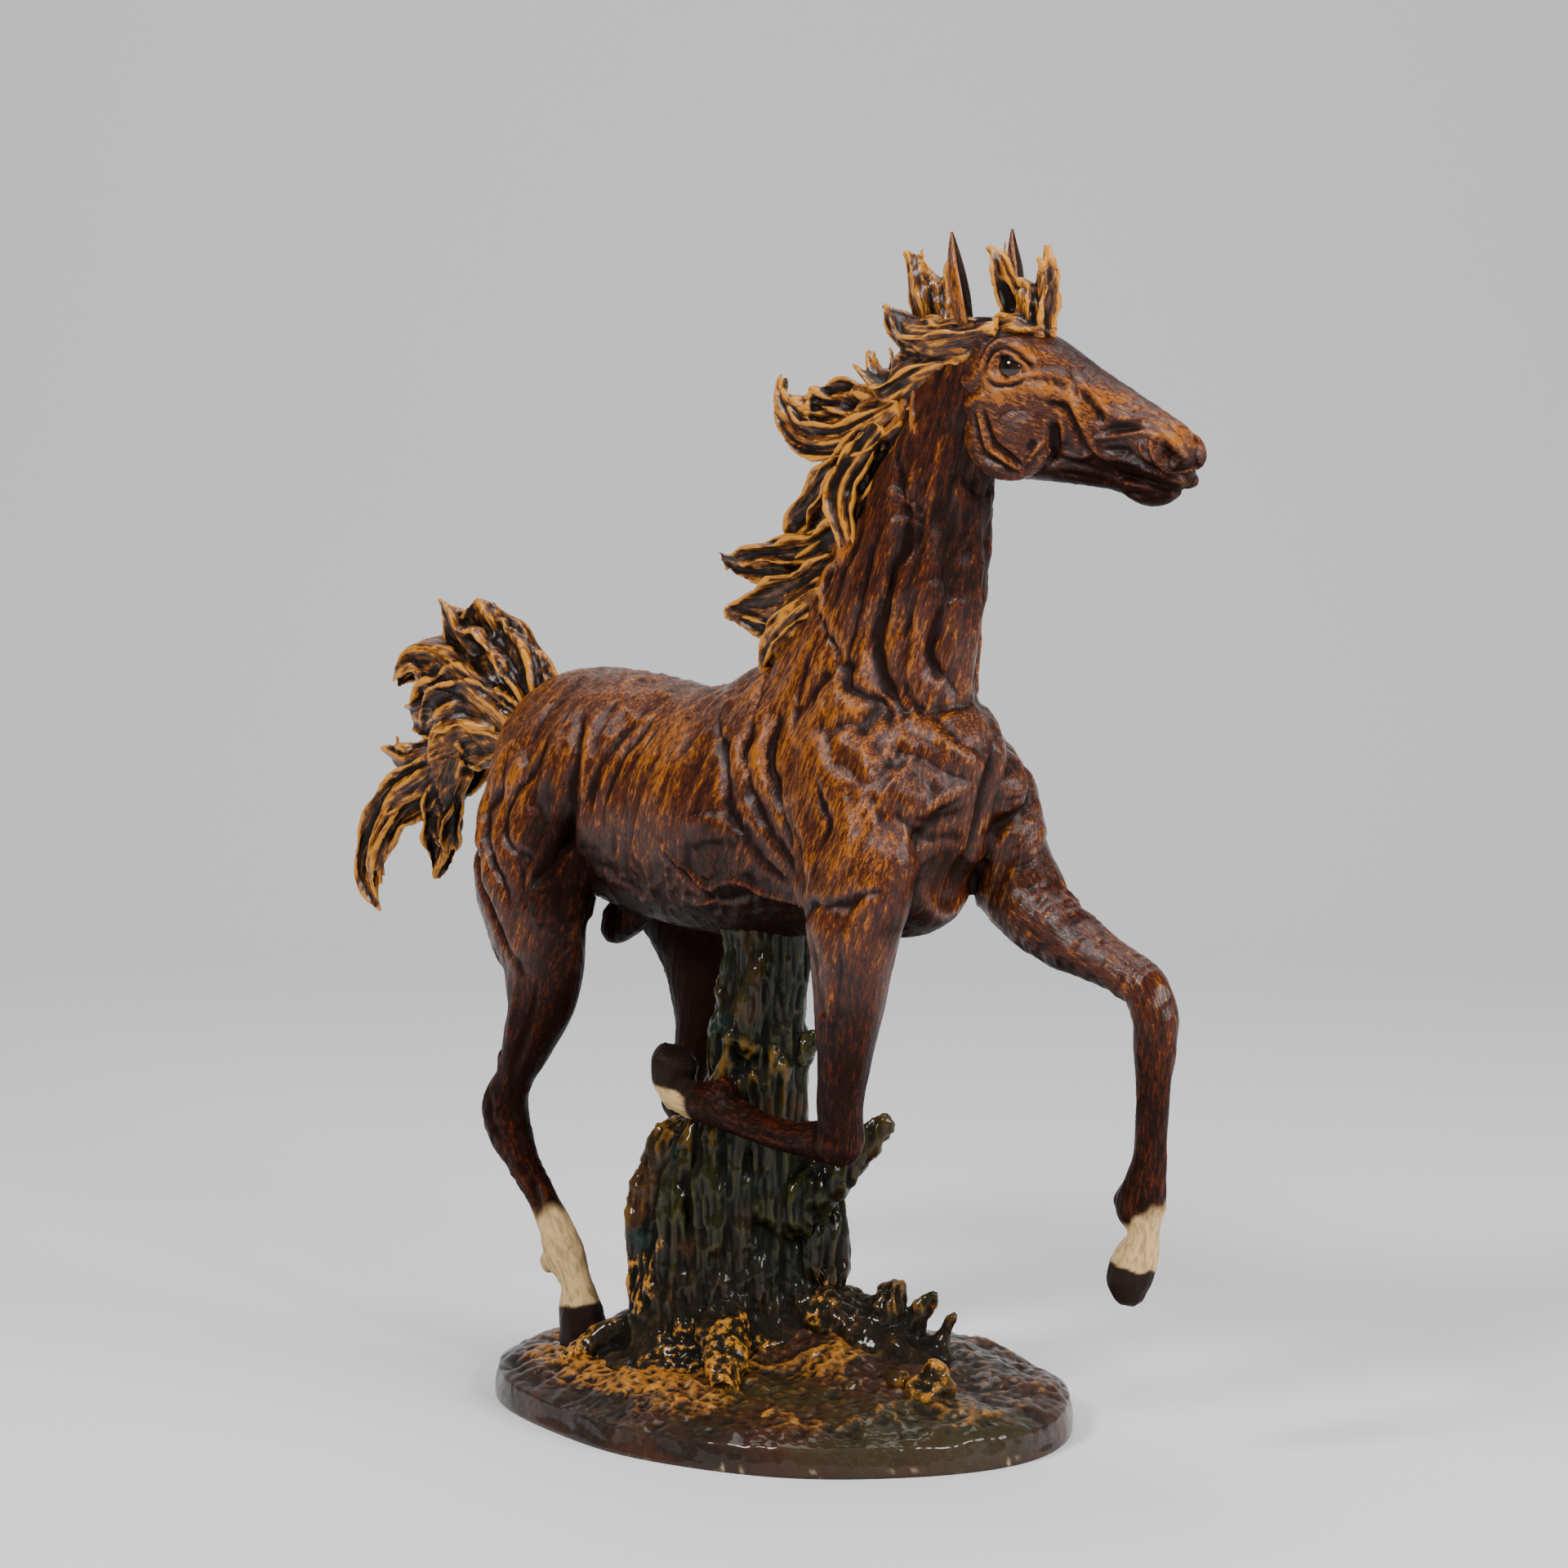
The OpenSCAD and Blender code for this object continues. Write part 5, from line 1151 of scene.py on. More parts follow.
def ground_piece(material):
    """The ground as rings from the middle out over the top, down the rim and back in underneath."""
    a = np.arange(GROUND_SIDES) / GROUND_SIDES * 2 * math.pi
    edge = edge_radius(a)
    rings = []
    shares = np.concatenate([np.linspace(0.01, 0.93, 128), np.linspace(0.94, BROW, 12)])
    for share in shares:
        x, y = edge * share * np.cos(a), edge * share * np.sin(a)
        rings.append(np.stack([x, y, ground(x, y)], -1))
    x, y = edge * BROW * np.cos(a), edge * BROW * np.sin(a)
    brow = ground(x, y)
    for t in np.linspace(0, 1, 9)[1:]:
        out = BROW + 0.015 * math.sin(t * math.pi / 2)
        rings.append(np.stack([edge * out * np.cos(a), edge * out * np.sin(a), brow * (1 - t)], -1))
    inner = 1 - BASE_WALL / BASE_HALF[1]
    rings.append(np.stack([edge * inner * np.cos(a), edge * inner * np.sin(a), 0 * a], -1))
    for share in (0.97, 0.86, 0.7, 0.5, 0.3, 0.08):
        x, y = edge * inner * share * np.cos(a), edge * inner * share * np.sin(a)
        rings.append(np.stack([x, y, np.maximum(2, ground(x, y) - BASE_WALL)], -1))
    rings = np.array(rings)[::-1]
    points, quads, ends = closed_rings(rings)
    if volume(points, quads, ends) < 0:
        quads, ends = quads[:, ::-1], ends[:, ::-1]
    skin = Skin(points, quads)
    n = skin.normals()
    n[-2:] = [[0, 0, -1], [0, 0, 1]]
    upper = ease(points[:, 2], 0.3, 3.5) * ease(n[:, 2], -0.3, 0.2)
    near = np.exp(-(((points[:, 0] + 24) / 46) ** 2 + ((points[:, 1] + 18) / 30) ** 2))
    rim = ease(points[:, 2], 8, 13)
    coarse = ease(layered(points, 24, 44, 2) + 0.7 * near, -0.1, 0.45)
    rough = 0.4 + 0.6 * coarse
    height = (2.9 * layered(points, 22, 21, 4) + 0.6 * chased(points * [1, 1.3, 1], 9.0, 27) * rough
              + 0.65 * layered(points, 4.2, 28, 2) * rough
              + 0.65 * chased(points, 2.6, 31) * coarse * (0.3 + 0.7 * near)
              + 0.3 * noise(points, 1.8, 29)) * (0.3 + 0.7 * rim)
    points = points + n * (height * upper)[:, None]
    points[:, 2] = np.where(upper > 0, np.maximum(points[:, 2], 0), points[:, 2])
    skin.points = points
    relief = 0.5 * skin.relief(24, 0.9) + 0.5 * skin.relief(5, 0.25)
    ochre_and_shade = (0.30 + 0.50 * coarse + 0.25 * near) * rim - 0.7 * (1 - rim)
    values = point_values(relief, points.copy(), ochre_and_shade)
    values["chip"] = (ease(noise(points, 2.0, 71), 0.62, 0.85) * (1 - ease(points[:, 2], 0.5, 3.5))
                      * ease(points[:, 2], -0.1, 0.2))
    obj = mesh_object("ground_skin", points, quads, ends, values=values)
    finish_piece(obj, material, "ground", "base_casting")


def sculpt_timber(voxel):
    """Trunk, stubs, roots and stones as one skin, grooved like bark and grainy near the ground."""
    parts = [tube(TRUNK, side=TRUNK_SIDE, sides=48)]
    parts += [tube(rows, sides=24) for rows in BRANCHES + ROOTS]
    parts += [ellipsoid(r[:3], (r[3], r[3] * 0.85, r[3] * 0.8)) for r in ROCKS]
    parts.append(ellipsoid((60, 3, 22), (3.6, 3.4, 6), tilted(12)))
    parts += [
        ellipsoid((-33, -11, 76), (13, 10, 14)), ellipsoid((-40, -16, 44), (10, 8, 34)),
        ellipsoid((0, 14, 50), (9, 8, 26)), ellipsoid((-24, -15, 52), (7, 6, 30)),
        ellipsoid((-6, -8, 122), (5, 5, 26), tilted(14)), ellipsoid((-16, 2, 128), (6, 7, 20), tilted(-12)),
    ]
    skin = fused(parts, voxel)
    skin.relax(14)
    for view in ("right", "left"):
        strokes(skin, view, TIMBER_MARKS)
    p = skin.points
    a = np.arctan2(p[:, 1], p[:, 0] + 16)
    low = ease(52 - p[:, 2], 0, 18)
    on_trunk = ease(p[:, 2], 26, 40)
    bend = 0.8 * noise(p, 30, 81)
    wave = 8 * a + 3.4 * bend + 0.075 * np.maximum(p[:, 2] - 70, 0) + 0.02 * p[:, 2]
    deep = 1 - 2 * np.abs(np.sin(wave / 2)) ** 0.7
    streak = np.stack([p[:, 0] + 2 * bend, p[:, 1] - 2 * bend, p[:, 2] * 0.16], -1)
    bark = layered(streak, 3.2, 83, 3)
    porous = low * ease(layered(p, 20, 91, 2) + 0.25, -0.1, 0.25) * ease(22 - p[:, 0] - 0.5 * p[:, 1], 0, 14)
    stony = np.max([ease(r[3] + 3 - np.linalg.norm(p - r[:3], axis=1), 0, 2)
                    for r in as_array(ROCKS)], axis=0)
    height = (on_trunk * (-0.22 * deep + 0.6 * bark) + 0.34 * chased(p, 2.4, 99) * porous
              + 1.0 * layered(p, 7, 87, 3) * low + 0.62 * chased(streak, 2.6, 89) * on_trunk
              + 0.5 * chased(streak, 1.3, 90) * on_trunk + 1.8 * layered(p, 7, 103, 2) * stony)
    skin.push(height)
    skin.relax(1, False)
    return skin


def timber_labels(skin):
    """0 trunk, 1 branches, 2 roots, 3 stones."""
    middle = skin.points[skin.quads].mean(1)
    reach = lambda rows, wide: np.min([
        (np.linalg.norm(middle - r[:3], axis=1) - wide * r[3:].mean()) for r in smooth_rows(rows, 4)], axis=0)
    depth_way = np.array([-TRUNK_SIDE[1], TRUNK_SIDE[0]])
    trunk = np.min([np.hypot(((middle[:, :2] - r[:2]) @ TRUNK_SIDE[:2]) / (r[3] + 3),
                             ((middle[:, :2] - r[:2]) @ depth_way) / (r[4] + 3))
                    + np.abs(middle[:, 2] - r[2]) / 12 for r in smooth_rows(TRUNK, 4)], axis=0)
    branch = np.min([reach(r, 1.2) for r in BRANCHES], axis=0)
    root = np.min([reach(r, 1.2) for r in ROOTS], axis=0)
    stone = np.min([np.linalg.norm(middle - r[:3], axis=1) - r[3] for r in ROCKS], axis=0)
    labels = np.where((root < branch) & (middle[:, 2] < 48), 2, np.where(branch < 3, 1, 0))
    labels[trunk < 1.12] = 0
    labels[(stone < 2.0) & (stone < root) & (trunk > 1.12)] = 3
    return labels


def timber_values(skin):
    p = skin.points
    low = ease(52 - p[:, 2] + 12 * noise(p, 14, 95), 0, 12)
    patch = ease(layered(p, 20, 91, 2) + 0.25, -0.1, 0.25)
    patch *= 0.35 + 0.65 * ease(22 - p[:, 0] - 0.5 * p[:, 1], 0, 14)
    patch += 0.5 * np.exp(-(((p[:, 0] - 60) / 8) ** 2 + ((p[:, 1] - 2) / 8) ** 2))
    peaks = ease(p[:, 0], 18, 26) * ease(p[:, 2], 27, 36) * low
    ochre_and_shade = np.clip(0.08 + 0.85 * low * patch + 0.35 * peaks, 0, 1)
    grain = np.stack([p[:, 0], p[:, 1], p[:, 2] * 0.9], -1)
    relief = 0.5 * skin.relief(24, 1.0) + 0.5 * skin.relief(5, 0.3)
    return point_values(relief, grain, ochre_and_shade, low)


# ---------------------------------------------------------------- materials

class Shader:
    """A short way to write a node tree."""

    def __init__(self, name):
        self.material = bpy.data.materials.new(name)
        self.material.use_nodes = True
        self.tree = self.material.node_tree
        self.tree.nodes.clear()
        self.out = self.tree.nodes.new("ShaderNodeOutputMaterial")
        self.bsdf = self.tree.nodes.new("ShaderNodeBsdfPrincipled")
        self.tree.links.new(self.bsdf.outputs[0], self.out.inputs[0])

    def set(self, socket, value):
        self.put(self.bsdf.inputs[socket], value)

    def put(self, socket, value):
        if isinstance(value, bpy.types.NodeSocket):
            self.tree.links.new(value, socket)
        elif isinstance(value, (tuple, list)) and len(value) == 3 and socket.type == "RGBA":
            socket.default_value = (*value, 1)
        else:
            socket.default_value = value

    def value(self, name):
        node = self.tree.nodes.new("ShaderNodeAttribute")
        node.attribute_name = name
        return node.outputs["Fac"]

    def vector(self, name):
        node = self.tree.nodes.new("ShaderNodeAttribute")
        node.attribute_name = name
        return node.outputs["Vector"]

    def place(self):
        return self.tree.nodes.new("ShaderNodeTexCoord").outputs["Object"]

    def stretch(self, vector, scale):
        node = self.tree.nodes.new("ShaderNodeMapping")
        self.put(node.inputs["Vector"], vector)
        node.inputs["Scale"].default_value = scale
        return node.outputs[0]

    def noise(self, vector, scale, detail=4.0, rough=0.55, warp=0.0):
        node = self.tree.nodes.new("ShaderNodeTexNoise")
        self.put(node.inputs["Vector"], vector)
        node.inputs["Scale"].default_value = scale
        node.inputs["Detail"].default_value = detail
        node.inputs["Roughness"].default_value = rough
        node.inputs["Distortion"].default_value = warp
        return node.outputs["Fac"]

    def math(self, kind, a, b):
        node = self.tree.nodes.new("ShaderNodeMath")
        node.operation = kind
        self.put(node.inputs[0], a)
        self.put(node.inputs[1], b)
        return node.outputs[0]

    def add(self, a, b):
        return self.math("ADD", a, b)

    def times(self, a, b):
        return self.math("MULTIPLY", a, b)

    def span(self, value, low, high, to_low=0.0, to_high=1.0):
        node = self.tree.nodes.new("ShaderNodeMapRange")
        node.interpolation_type = "SMOOTHSTEP"
        self.put(node.inputs["Value"], value)
        for key, number in (("From Min", low), ("From Max", high), ("To Min", to_low), ("To Max", to_high)):
            node.inputs[key].default_value = number
        return node.outputs[0]

    def mix(self, share, a, b):
        node = self.tree.nodes.new("ShaderNodeMix")
        node.data_type = "RGBA"
        self.put(node.inputs["Factor"], share)
        self.put(node.inputs["A"], a)
        self.put(node.inputs["B"], b)
        return node.outputs["Result"]

    def bump(self, height, depth):
        node = self.tree.nodes.new("ShaderNodeBump")
        node.inputs["Distance"].default_value = depth
        node.inputs["Strength"].default_value = 1.0
        self.put(node.inputs["Height"], height)
        return node.outputs[0]


VARNISH_ROUGHNESS = 0.075
VARNISH_IOR = 1.36


def lacquer(shader, roughness, gloss):
    """The paint's own sheen and, over it, the clear varnish."""
    shader.set("Roughness", roughness)
    shader.set("Coat Weight", gloss)
    shader.set("Coat Roughness", VARNISH_ROUGHNESS)
    shader.set("Coat IOR", VARNISH_IOR)
    shader.set("Specular IOR Level", 0.13)


def cold_paint(name, dark, middle, light, cream, horn, fineness=1.3, stretch=0.2, bump=0.45, lift=0.0,
               carve=0.30):
    """Paint brushed along the grain: dark in the hollows, light on the ridges, streaked and worn.

    The varnish is weakened in the hollows, on dark paint and on painted shade, as painted shade on its
    reflection, so that they stay dark.
    """
    s = Shader(name)
    grain = s.stretch(s.vector("grain"), (fineness, fineness, fineness * stretch))
    hairs = s.noise(grain, 0.75, 5.0, 0.68, 0.5)
    threads = s.noise(grain, 2.0, 3.0, 0.6, 0.3)
    clouds = s.noise(s.place(), 55.0, 3.0, 0.55)
    relief, ochre_and_shade = s.value("relief"), s.value("ochre_and_shade")
    streak = s.add(s.times(hairs, 1.55), s.times(threads, 0.75))
    level = s.add(streak, s.times(relief, carve))
    # The ochre share lightens the paint; its painted shade under the belly, under the head and on the far
    # side darkens it
    level = s.add(level, s.times(ochre_and_shade, 0.44))
    level = s.add(level, s.times(clouds, 0.45))
    color = s.mix(s.span(level, 1.29 - lift, 1.53 - lift), dark, middle)
    color = s.mix(s.span(level, 1.58 - lift, 1.92 - lift), color, light)
    crevice = s.span(relief, -0.52, -0.10, 1.0, 0.0)
    color = s.mix(s.times(crevice, 0.9), color, dark)
    worn = s.span(s.noise(grain, 0.6, 4.0, 0.6), 0.44, 0.66)
    color = s.mix(s.value("sock"), color, s.mix(s.times(worn, 0.75), cream, tuple(0.45 * c for c in cream)))
    color = s.mix(s.value("hoof"), color, horn)
    s.set("Base Color", color)
    # Varnish and sheen fall in the hollows and with the ochre share and its painted shade: painted shade on
    # the reflection
    open_skin = s.span(relief, -0.7, 0.0, 0.12, 1.0)
    lacquer(s, s.span(hairs, 0.3, 0.7, 0.46, 0.28), s.times(open_skin, s.span(ochre_and_shade, -0.5, 0.3, 0.04, 0.78)))
    s.set("Specular IOR Level", s.span(ochre_and_shade, -0.5, 0.2, 0.02, 0.08))
    s.set("Normal", s.bump(s.add(s.times(threads, 0.5), hairs), bump * MM))
    s.set("Coat Normal", s.bump(s.add(s.times(threads, 0.5), hairs), bump * MM * 0.5))
    return s.material


def tree_paint(name, dark, green, ochre):
    """Dark green-black over the bark with olive lights, and ochre crumbs on the porous foot."""
    s = Shader(name)
    grain = s.stretch(s.vector("grain"), (1.5, 1.5, 0.2))
    hairs = s.noise(grain, 0.8, 5.0, 0.68, 0.6)
    place = s.place()
    patch = s.noise(place, 30.0, 3.0, 0.5)
    relief = s.value("relief")
    level = s.add(s.add(hairs, s.times(relief, 0.30)), s.times(patch, 0.5))
    color = s.mix(s.span(level, 0.70, 0.92), dark, tuple(0.3 * c for c in green))
    color = s.mix(s.span(level, 0.90, 1.20), color, green)
    teal = s.span(s.noise(place, 48.0, 2.0), 0.58, 0.72)
    color = s.mix(s.times(teal, 0.5), color, (0.004, 0.026, 0.024))
    rust = s.span(s.noise(place, 36.0, 2.0, 0.5, 0.3), 0.56, 0.7)
    color = s.mix(s.times(rust, 0.6), color, (0.06, 0.022, 0.007))
    amber = s.span(s.add(s.noise(place, 21.0, 2.0), s.times(relief, 0.12)), 0.60, 0.72)
    color = s.mix(s.times(amber, 0.55), color, tuple(0.55 * c for c in ochre))
    soil = s.mix(s.span(level, 0.72, 1.15), (0.010, 0.006, 0.003), (0.065, 0.032, 0.008))
    color = s.mix(s.times(s.value("sock"), 0.8), color, soil)
    crumbs = s.add(s.times(relief, 0.26), s.noise(place, 430.0, 5.0, 0.8))
    share = s.times(s.value("ochre_and_shade"), s.span(crumbs, 0.46, 0.76))
    color = s.mix(s.span(share, 0.25, 0.75), color, ochre)
    crevice = s.span(relief, -0.6, -0.1, 1.0, 0.0)
    color = s.mix(s.times(crevice, 0.85), color, (0.005, 0.005, 0.004))
    s.set("Base Color", color)
    # Varnish weight falls in the hollows: painted shade on the reflection
    lacquer(s, 0.4, s.span(relief, -0.5, 0.5, 0.03, 0.62))
    s.set("Specular IOR Level", 0.06)
    s.set("Normal", s.bump(s.add(hairs, s.times(s.noise(place, 900.0, 2.0), 0.35)), 0.5 * MM))
    return s.material


def earth_paint(name, dark, red, ochre):
    """Brown ground with a net of ochre on its crests, some green by the trunk and a worn, chipped rim."""
    s = Shader(name)
    place = s.place()
    patch = s.noise(place, 30.0, 4.0, 0.6, 0.4)
    web = s.noise(place, 300.0, 5.0, 0.75, 1.0)
    relief = s.value("relief")
    color = s.mix(s.span(s.add(patch, s.times(relief, 0.12)), 0.42, 0.66), dark, red)
    green = s.span(s.noise(s.stretch(place, (1.0, 1.3, 1.0)), 19.0, 3.0), 0.52, 0.66)
    color = s.mix(s.times(green, 0.55), color, (0.022, 0.024, 0.006))
    level = s.add(s.times(relief, 0.40), s.add(web, s.times(s.value("ochre_and_shade"), 0.55)))
    color = s.mix(s.times(s.span(level, 0.74, 1.22), 0.8), color, ochre)
    crevice = s.span(relief, -0.6, -0.1, 1.0, 0.0)
    color = s.mix(s.times(crevice, 0.8), color, (0.006, 0.004, 0.003))
    color = s.mix(s.value("chip"), color, (0.42, 0.32, 0.18))
    s.set("Base Color", color)
    # Varnish weight falls in the hollows: painted shade on the reflection
    lacquer(s, 0.36, s.span(relief, -0.5, 0.3, 0.05, 0.6))
    s.set("Roughness", s.span(web, 0.3, 0.7, 0.5, 0.28))
    s.set("Normal", s.bump(s.add(web, s.times(s.noise(place, 1100.0, 2.0), 0.3)), 0.6 * MM))
    return s.material


def eye_gloss(name):
    s = Shader(name)
    depth = s.span(s.noise(s.place(), 300.0, 2.0), 0.4, 0.6)
    color = s.mix(depth, (0.004, 0.003, 0.003), (0.02, 0.008, 0.004))
    s.set("Base Color", color)
    s.set("Roughness", 0.06)
    s.set("Specular IOR Level", 0.25)
    s.set("Coat Weight", 0.45)
    s.set("Coat Roughness", 0.03)
    return s.material


def metal(name, low, high, roughness):
    """Machined metal with faint turning marks."""
    s = Shader(name)
    marks = s.noise(s.stretch(s.place(), (1, 1, 14)), 160.0, 3.0)
    s.set("Base Color", s.mix(marks, low, high))
    s.set("Metallic", 1.0)
    s.set("Roughness", s.span(marks, 0.3, 0.7, roughness, roughness + 0.15))
    s.set("Normal", s.bump(marks, 0.05 * MM))
    return s.material


def floor_paint(name, tone):
    s = Shader(name)
    cloud = s.noise(s.place(), 1.3, 3.0)
    s.set("Base Color", s.mix(cloud, tone, tuple(c * 0.96 for c in tone)))
    s.set("Roughness", 0.7)
    return s.material


def material_of(name):
    found = bpy.data.materials.get(name)
    if found is None:
        raise RuntimeError("material is missing: " + name)
    return found


# ---------------------------------------------------------------- settings

def color_property(name, description, default):
    return bpy.props.FloatVectorProperty(name=name, description=description, default=default, size=3,
                                         min=0.0, max=1.0, subtype="COLOR")


def grid_property(name, owner, default, low, high):
    return bpy.props.FloatProperty(name=name, description=f"Width of the {owner}'s faces, in millimetres",
                                   default=default, min=low, max=high)


class StallionPaint(bpy.types.PropertyGroup):
    """The paint colours."""
    ochre: color_property("Ochre", "Light brush strokes on the coat", (0.30, 0.090, 0.006))
    chestnut: color_property("Chestnut", "Middle tone of the coat", (0.050, 0.0095, 0.0028))
    umber: color_property("Umber", "Darkest tone of the coat, in the hollows", (0.010, 0.0035, 0.0022))
    gold: color_property("Gold", "Light tone of the mane and tail", (0.52, 0.205, 0.018))
    cream: color_property("Cream", "Socks above the hooves", (0.56, 0.37, 0.17))
    horn: color_property("Horn", "Hooves", (0.016, 0.009, 0.007))
    moss: color_property("Moss", "Lights on the bark", (0.048, 0.043, 0.006))
    earth: color_property("Earth", "Dark tone of the ground", (0.014, 0.007, 0.004))


class StallionModel(bpy.types.PropertyGroup):
    """How finely the pieces are modelled."""
    body_grid: grid_property("Body grid", "body", 0.85, 0.6, 3.0)
    head_grid: grid_property("Head grid", "head", 0.45, 0.3, 2.0)
    hair_grid: grid_property("Hair grid", "hair", 0.6, 0.4, 2.0)
    timber_grid: grid_property("Timber grid", "bark", 0.8, 0.5, 3.0)


class StallionStage(bpy.types.PropertyGroup):
    """Floor, lights and camera."""
    floor_tone: color_property("Floor", "Colour of the floor and backdrop", (0.68, 0.68, 0.69))
    distance: bpy.props.FloatProperty(name="Distance",
                                      description="From the middle of the base to the camera",
                                      default=1.3, min=0.5, max=5.0, unit="LENGTH")
    height: bpy.props.FloatProperty(name="Height", description="Camera height above the floor",
                                    default=0.34, min=0.0, max=3.0, unit="LENGTH")
    pitch: bpy.props.FloatProperty(name="Pitch", description="How far the camera looks down",
                                   default=math.radians(6.3), min=0.0, max=1.5, subtype="ANGLE")
    azimuth: bpy.props.FloatProperty(name="Azimuth", description="Camera direction round the statue",
                                     default=math.radians(45), min=-6.3, max=6.3, subtype="ANGLE")
    lens: bpy.props.FloatProperty(name="Lens", description="Focal length on a 36 mm sensor",
                                  default=98.6, min=20.0, max=300.0, unit="CAMERA")


# ---------------------------------------------------------------- operators

class STALLION_OT_paints(bpy.types.Operator):
    """Mix the paints, varnish and metals"""
    bl_idname = "stallion.paints"
    bl_label = "Paints"

    def execute(self, context):
        p = context.scene.stallion_paint
        dark, middle, light = tuple(p.umber), tuple(p.chestnut), tuple(p.ochre)
        cream, horn = tuple(p.cream), tuple(p.horn)
        cold_paint("coat_paint", dark, middle, light, cream, horn)
        cold_paint("head_paint", dark, middle, light, cream, horn, fineness=1.7, bump=0.38)
        cold_paint("hair_paint", (0.008, 0.004, 0.0025), (0.10, 0.030, 0.006), tuple(p.gold), cream, horn,
                   fineness=1.3, stretch=0.12, bump=0.3, lift=-0.10, carve=0.72)
        tree_paint("bark_paint", (0.006, 0.006, 0.004), tuple(p.moss), (0.42, 0.17, 0.016))
        earth_paint("earth_paint", tuple(p.earth), (0.040, 0.013, 0.005), (0.38, 0.145, 0.016))
        eye_gloss("eye_gloss")
        metal("turned_brass", (0.55, 0.36, 0.12), (0.70, 0.48, 0.18), 0.28)
        metal("machined_steel", (0.38, 0.38, 0.38), (0.55, 0.55, 0.54), 0.3)
        return {"FINISHED"}


class STALLION_OT_body(bpy.types.Operator):
    """Model the torso, neck and legs"""
    bl_idname = "stallion.body"
    bl_label = "Body"

    def execute(self, context):
        skin = sculpt_body(context.scene.stallion_model.body_grid)
        pieces = [("torso_skin", "coat", "torso_casting"), ("neck_skin", "coat", "neck_casting")]
        for leg in ("hindleg_right", "hindleg_left", "foreleg_right", "foreleg_left"):
            pieces.append((leg + "_skin", "legs", leg))
        finish_parts(skin, body_values(skin), pieces, material_of("coat_paint"), body_labels(skin))
        return {"FINISHED"}


class STALLION_OT_head(bpy.types.Operator):
    """Model the head, ears and eyes"""
    bl_idname = "stallion.head"
    bl_label = "Head"

    def execute(self, context):
        skin = sculpt_head(context.scene.stallion_model.head_grid)
        paint = material_of("head_paint")
        finish_parts(skin, head_values(skin), (("head_skin", "coat", "head_casting"),), paint)
        for ear, rows in (("ear_right", EAR_RIGHT), ("ear_left", EAR_LEFT)):
            finish_piece(ear_piece(ear + "_skin", rows, (0.9, 0.44, 0)), paint, "coat", ear)
        for name, left in (("eye_right", -1), ("eye_left", 1)):
            eye_piece(name, left, skin, material_of("eye_gloss"))
        return {"FINISHED"}


class STALLION_OT_hair(bpy.types.Operator):
    """Model the forelock, mane and tail"""
    bl_idname = "stallion.hair"
    bl_label = "Hair"

    def execute(self, context):
        paint = material_of("hair_paint")
        groups = (("forelock", FORELOCK), ("poll_tuft", POLL_TUFT), ("mane_crest", MANE_CREST),
                  ("mane_upper", MANE_UPPER), ("mane_middle", MANE_MIDDLE), ("mane_lower", MANE_LOWER),
                  ("tail_upper", TAIL_UPPER), ("tail_lower", TAIL_LOWER))
        for k, (name, group) in enumerate(groups):
            hair_piece(name + "_hair", group, 10 * k, context.scene.stallion_model.hair_grid, paint,
                       name + "_casting")
        return {"FINISHED"}


class STALLION_OT_ground(bpy.types.Operator):
    """Model the base, roots, stones, trunk and stubs"""
    bl_idname = "stallion.ground"
    bl_label = "Ground and trunk"

    def execute(self, context):
        ground_piece(material_of("earth_paint"))
        skin = sculpt_timber(context.scene.stallion_model.timber_grid)
        pieces = (("trunk_bark", "bark", "trunk_casting"), ("branch_bark", "bark", "branch_casting"),
                  ("root_bark", "ground", "root_casting"), ("stones", "ground", "rock_casting"))
        finish_parts(skin, timber_values(skin), pieces, material_of("bark_paint"), timber_labels(skin))
        return {"FINISHED"}


class STALLION_OT_hardware(bpy.types.Operator):
    """Give the hidden dowels, pins, rods, nuts and washers their metal"""
    bl_idname = "stallion.hardware"
    bl_label = "Hardware"

    def execute(self, context):
        slots = {row["node"]: row["material_slot"] for row in frame["record"]["subparts"]}
        metals = {"bright_brass": "turned_brass", "steel": "machined_steel"}
        for name, node in frame["nodes"].items():
            if slots.get(name) in metals:
                node.data.materials.clear()
                node.data.materials.append(material_of(metals[slots[name]]))
        return {"FINISHED"}


# Lamps are (name, metres towards the camera, to its right and up, width in metres, power in watts)
LAMPS = (
    ("key_light", 0.9, -1.1, 1.3, 0.45, 35),
    ("fill_light", 0.8, 1.3, 0.75, 0.7, 25),
    ("strip_light", 1.1, 0.75, 0.75, 0.25, 10),
    ("top_light", -0.3, 0.0, 1.7, 1.2, 19),
)
LAMP_AIM_HEIGHT = 0.17
WORLD_LIGHT = (0.85, 0.87, 0.9, 1)
WORLD_STRENGTH = 0.10


def camera_axes(azimuth):
    """Level directions from the statue to the camera, and to the camera's right."""
    toward = np.array([math.sin(azimuth), -math.cos(azimuth), 0.0])
    return toward, np.array([math.cos(azimuth), math.sin(azimuth), 0.0])


class STALLION_OT_stage(bpy.types.Operator):
    """Set the floor, lights and camera"""
    bl_idname = "stallion.stage"
    bl_label = "Stage"

    def execute(self, context):
        s = context.scene.stallion_stage
        sweep_floor(floor_paint("floor_paint", tuple(s.floor_tone)), s.azimuth)
        toward, right = camera_axes(s.azimuth)
        up = np.array([0, 0, 1.0])
        for name, near, aside, high, size, power in LAMPS:
            area_light(name, toward * near + right * aside + up * high, size, power)
        world = bpy.data.worlds.new("studio")
        world.use_nodes = True
        sky = world.node_tree.nodes["Background"]
        sky.inputs[0].default_value = WORLD_LIGHT
        sky.inputs[1].default_value = WORLD_STRENGTH
        context.scene.world = world
        camera = bpy.data.cameras.new("camera")
        camera.lens = s.lens
        camera.sensor_width = 36
        camera.clip_end = 20
        eye = bpy.data.objects.new("camera", camera)
        eye.location = toward * s.distance + up * s.height
        eye.rotation_euler = (math.pi / 2 - s.pitch, 0, s.azimuth)
        context.scene.collection.objects.link(eye)
        context.scene.camera = eye
        return {"FINISHED"}


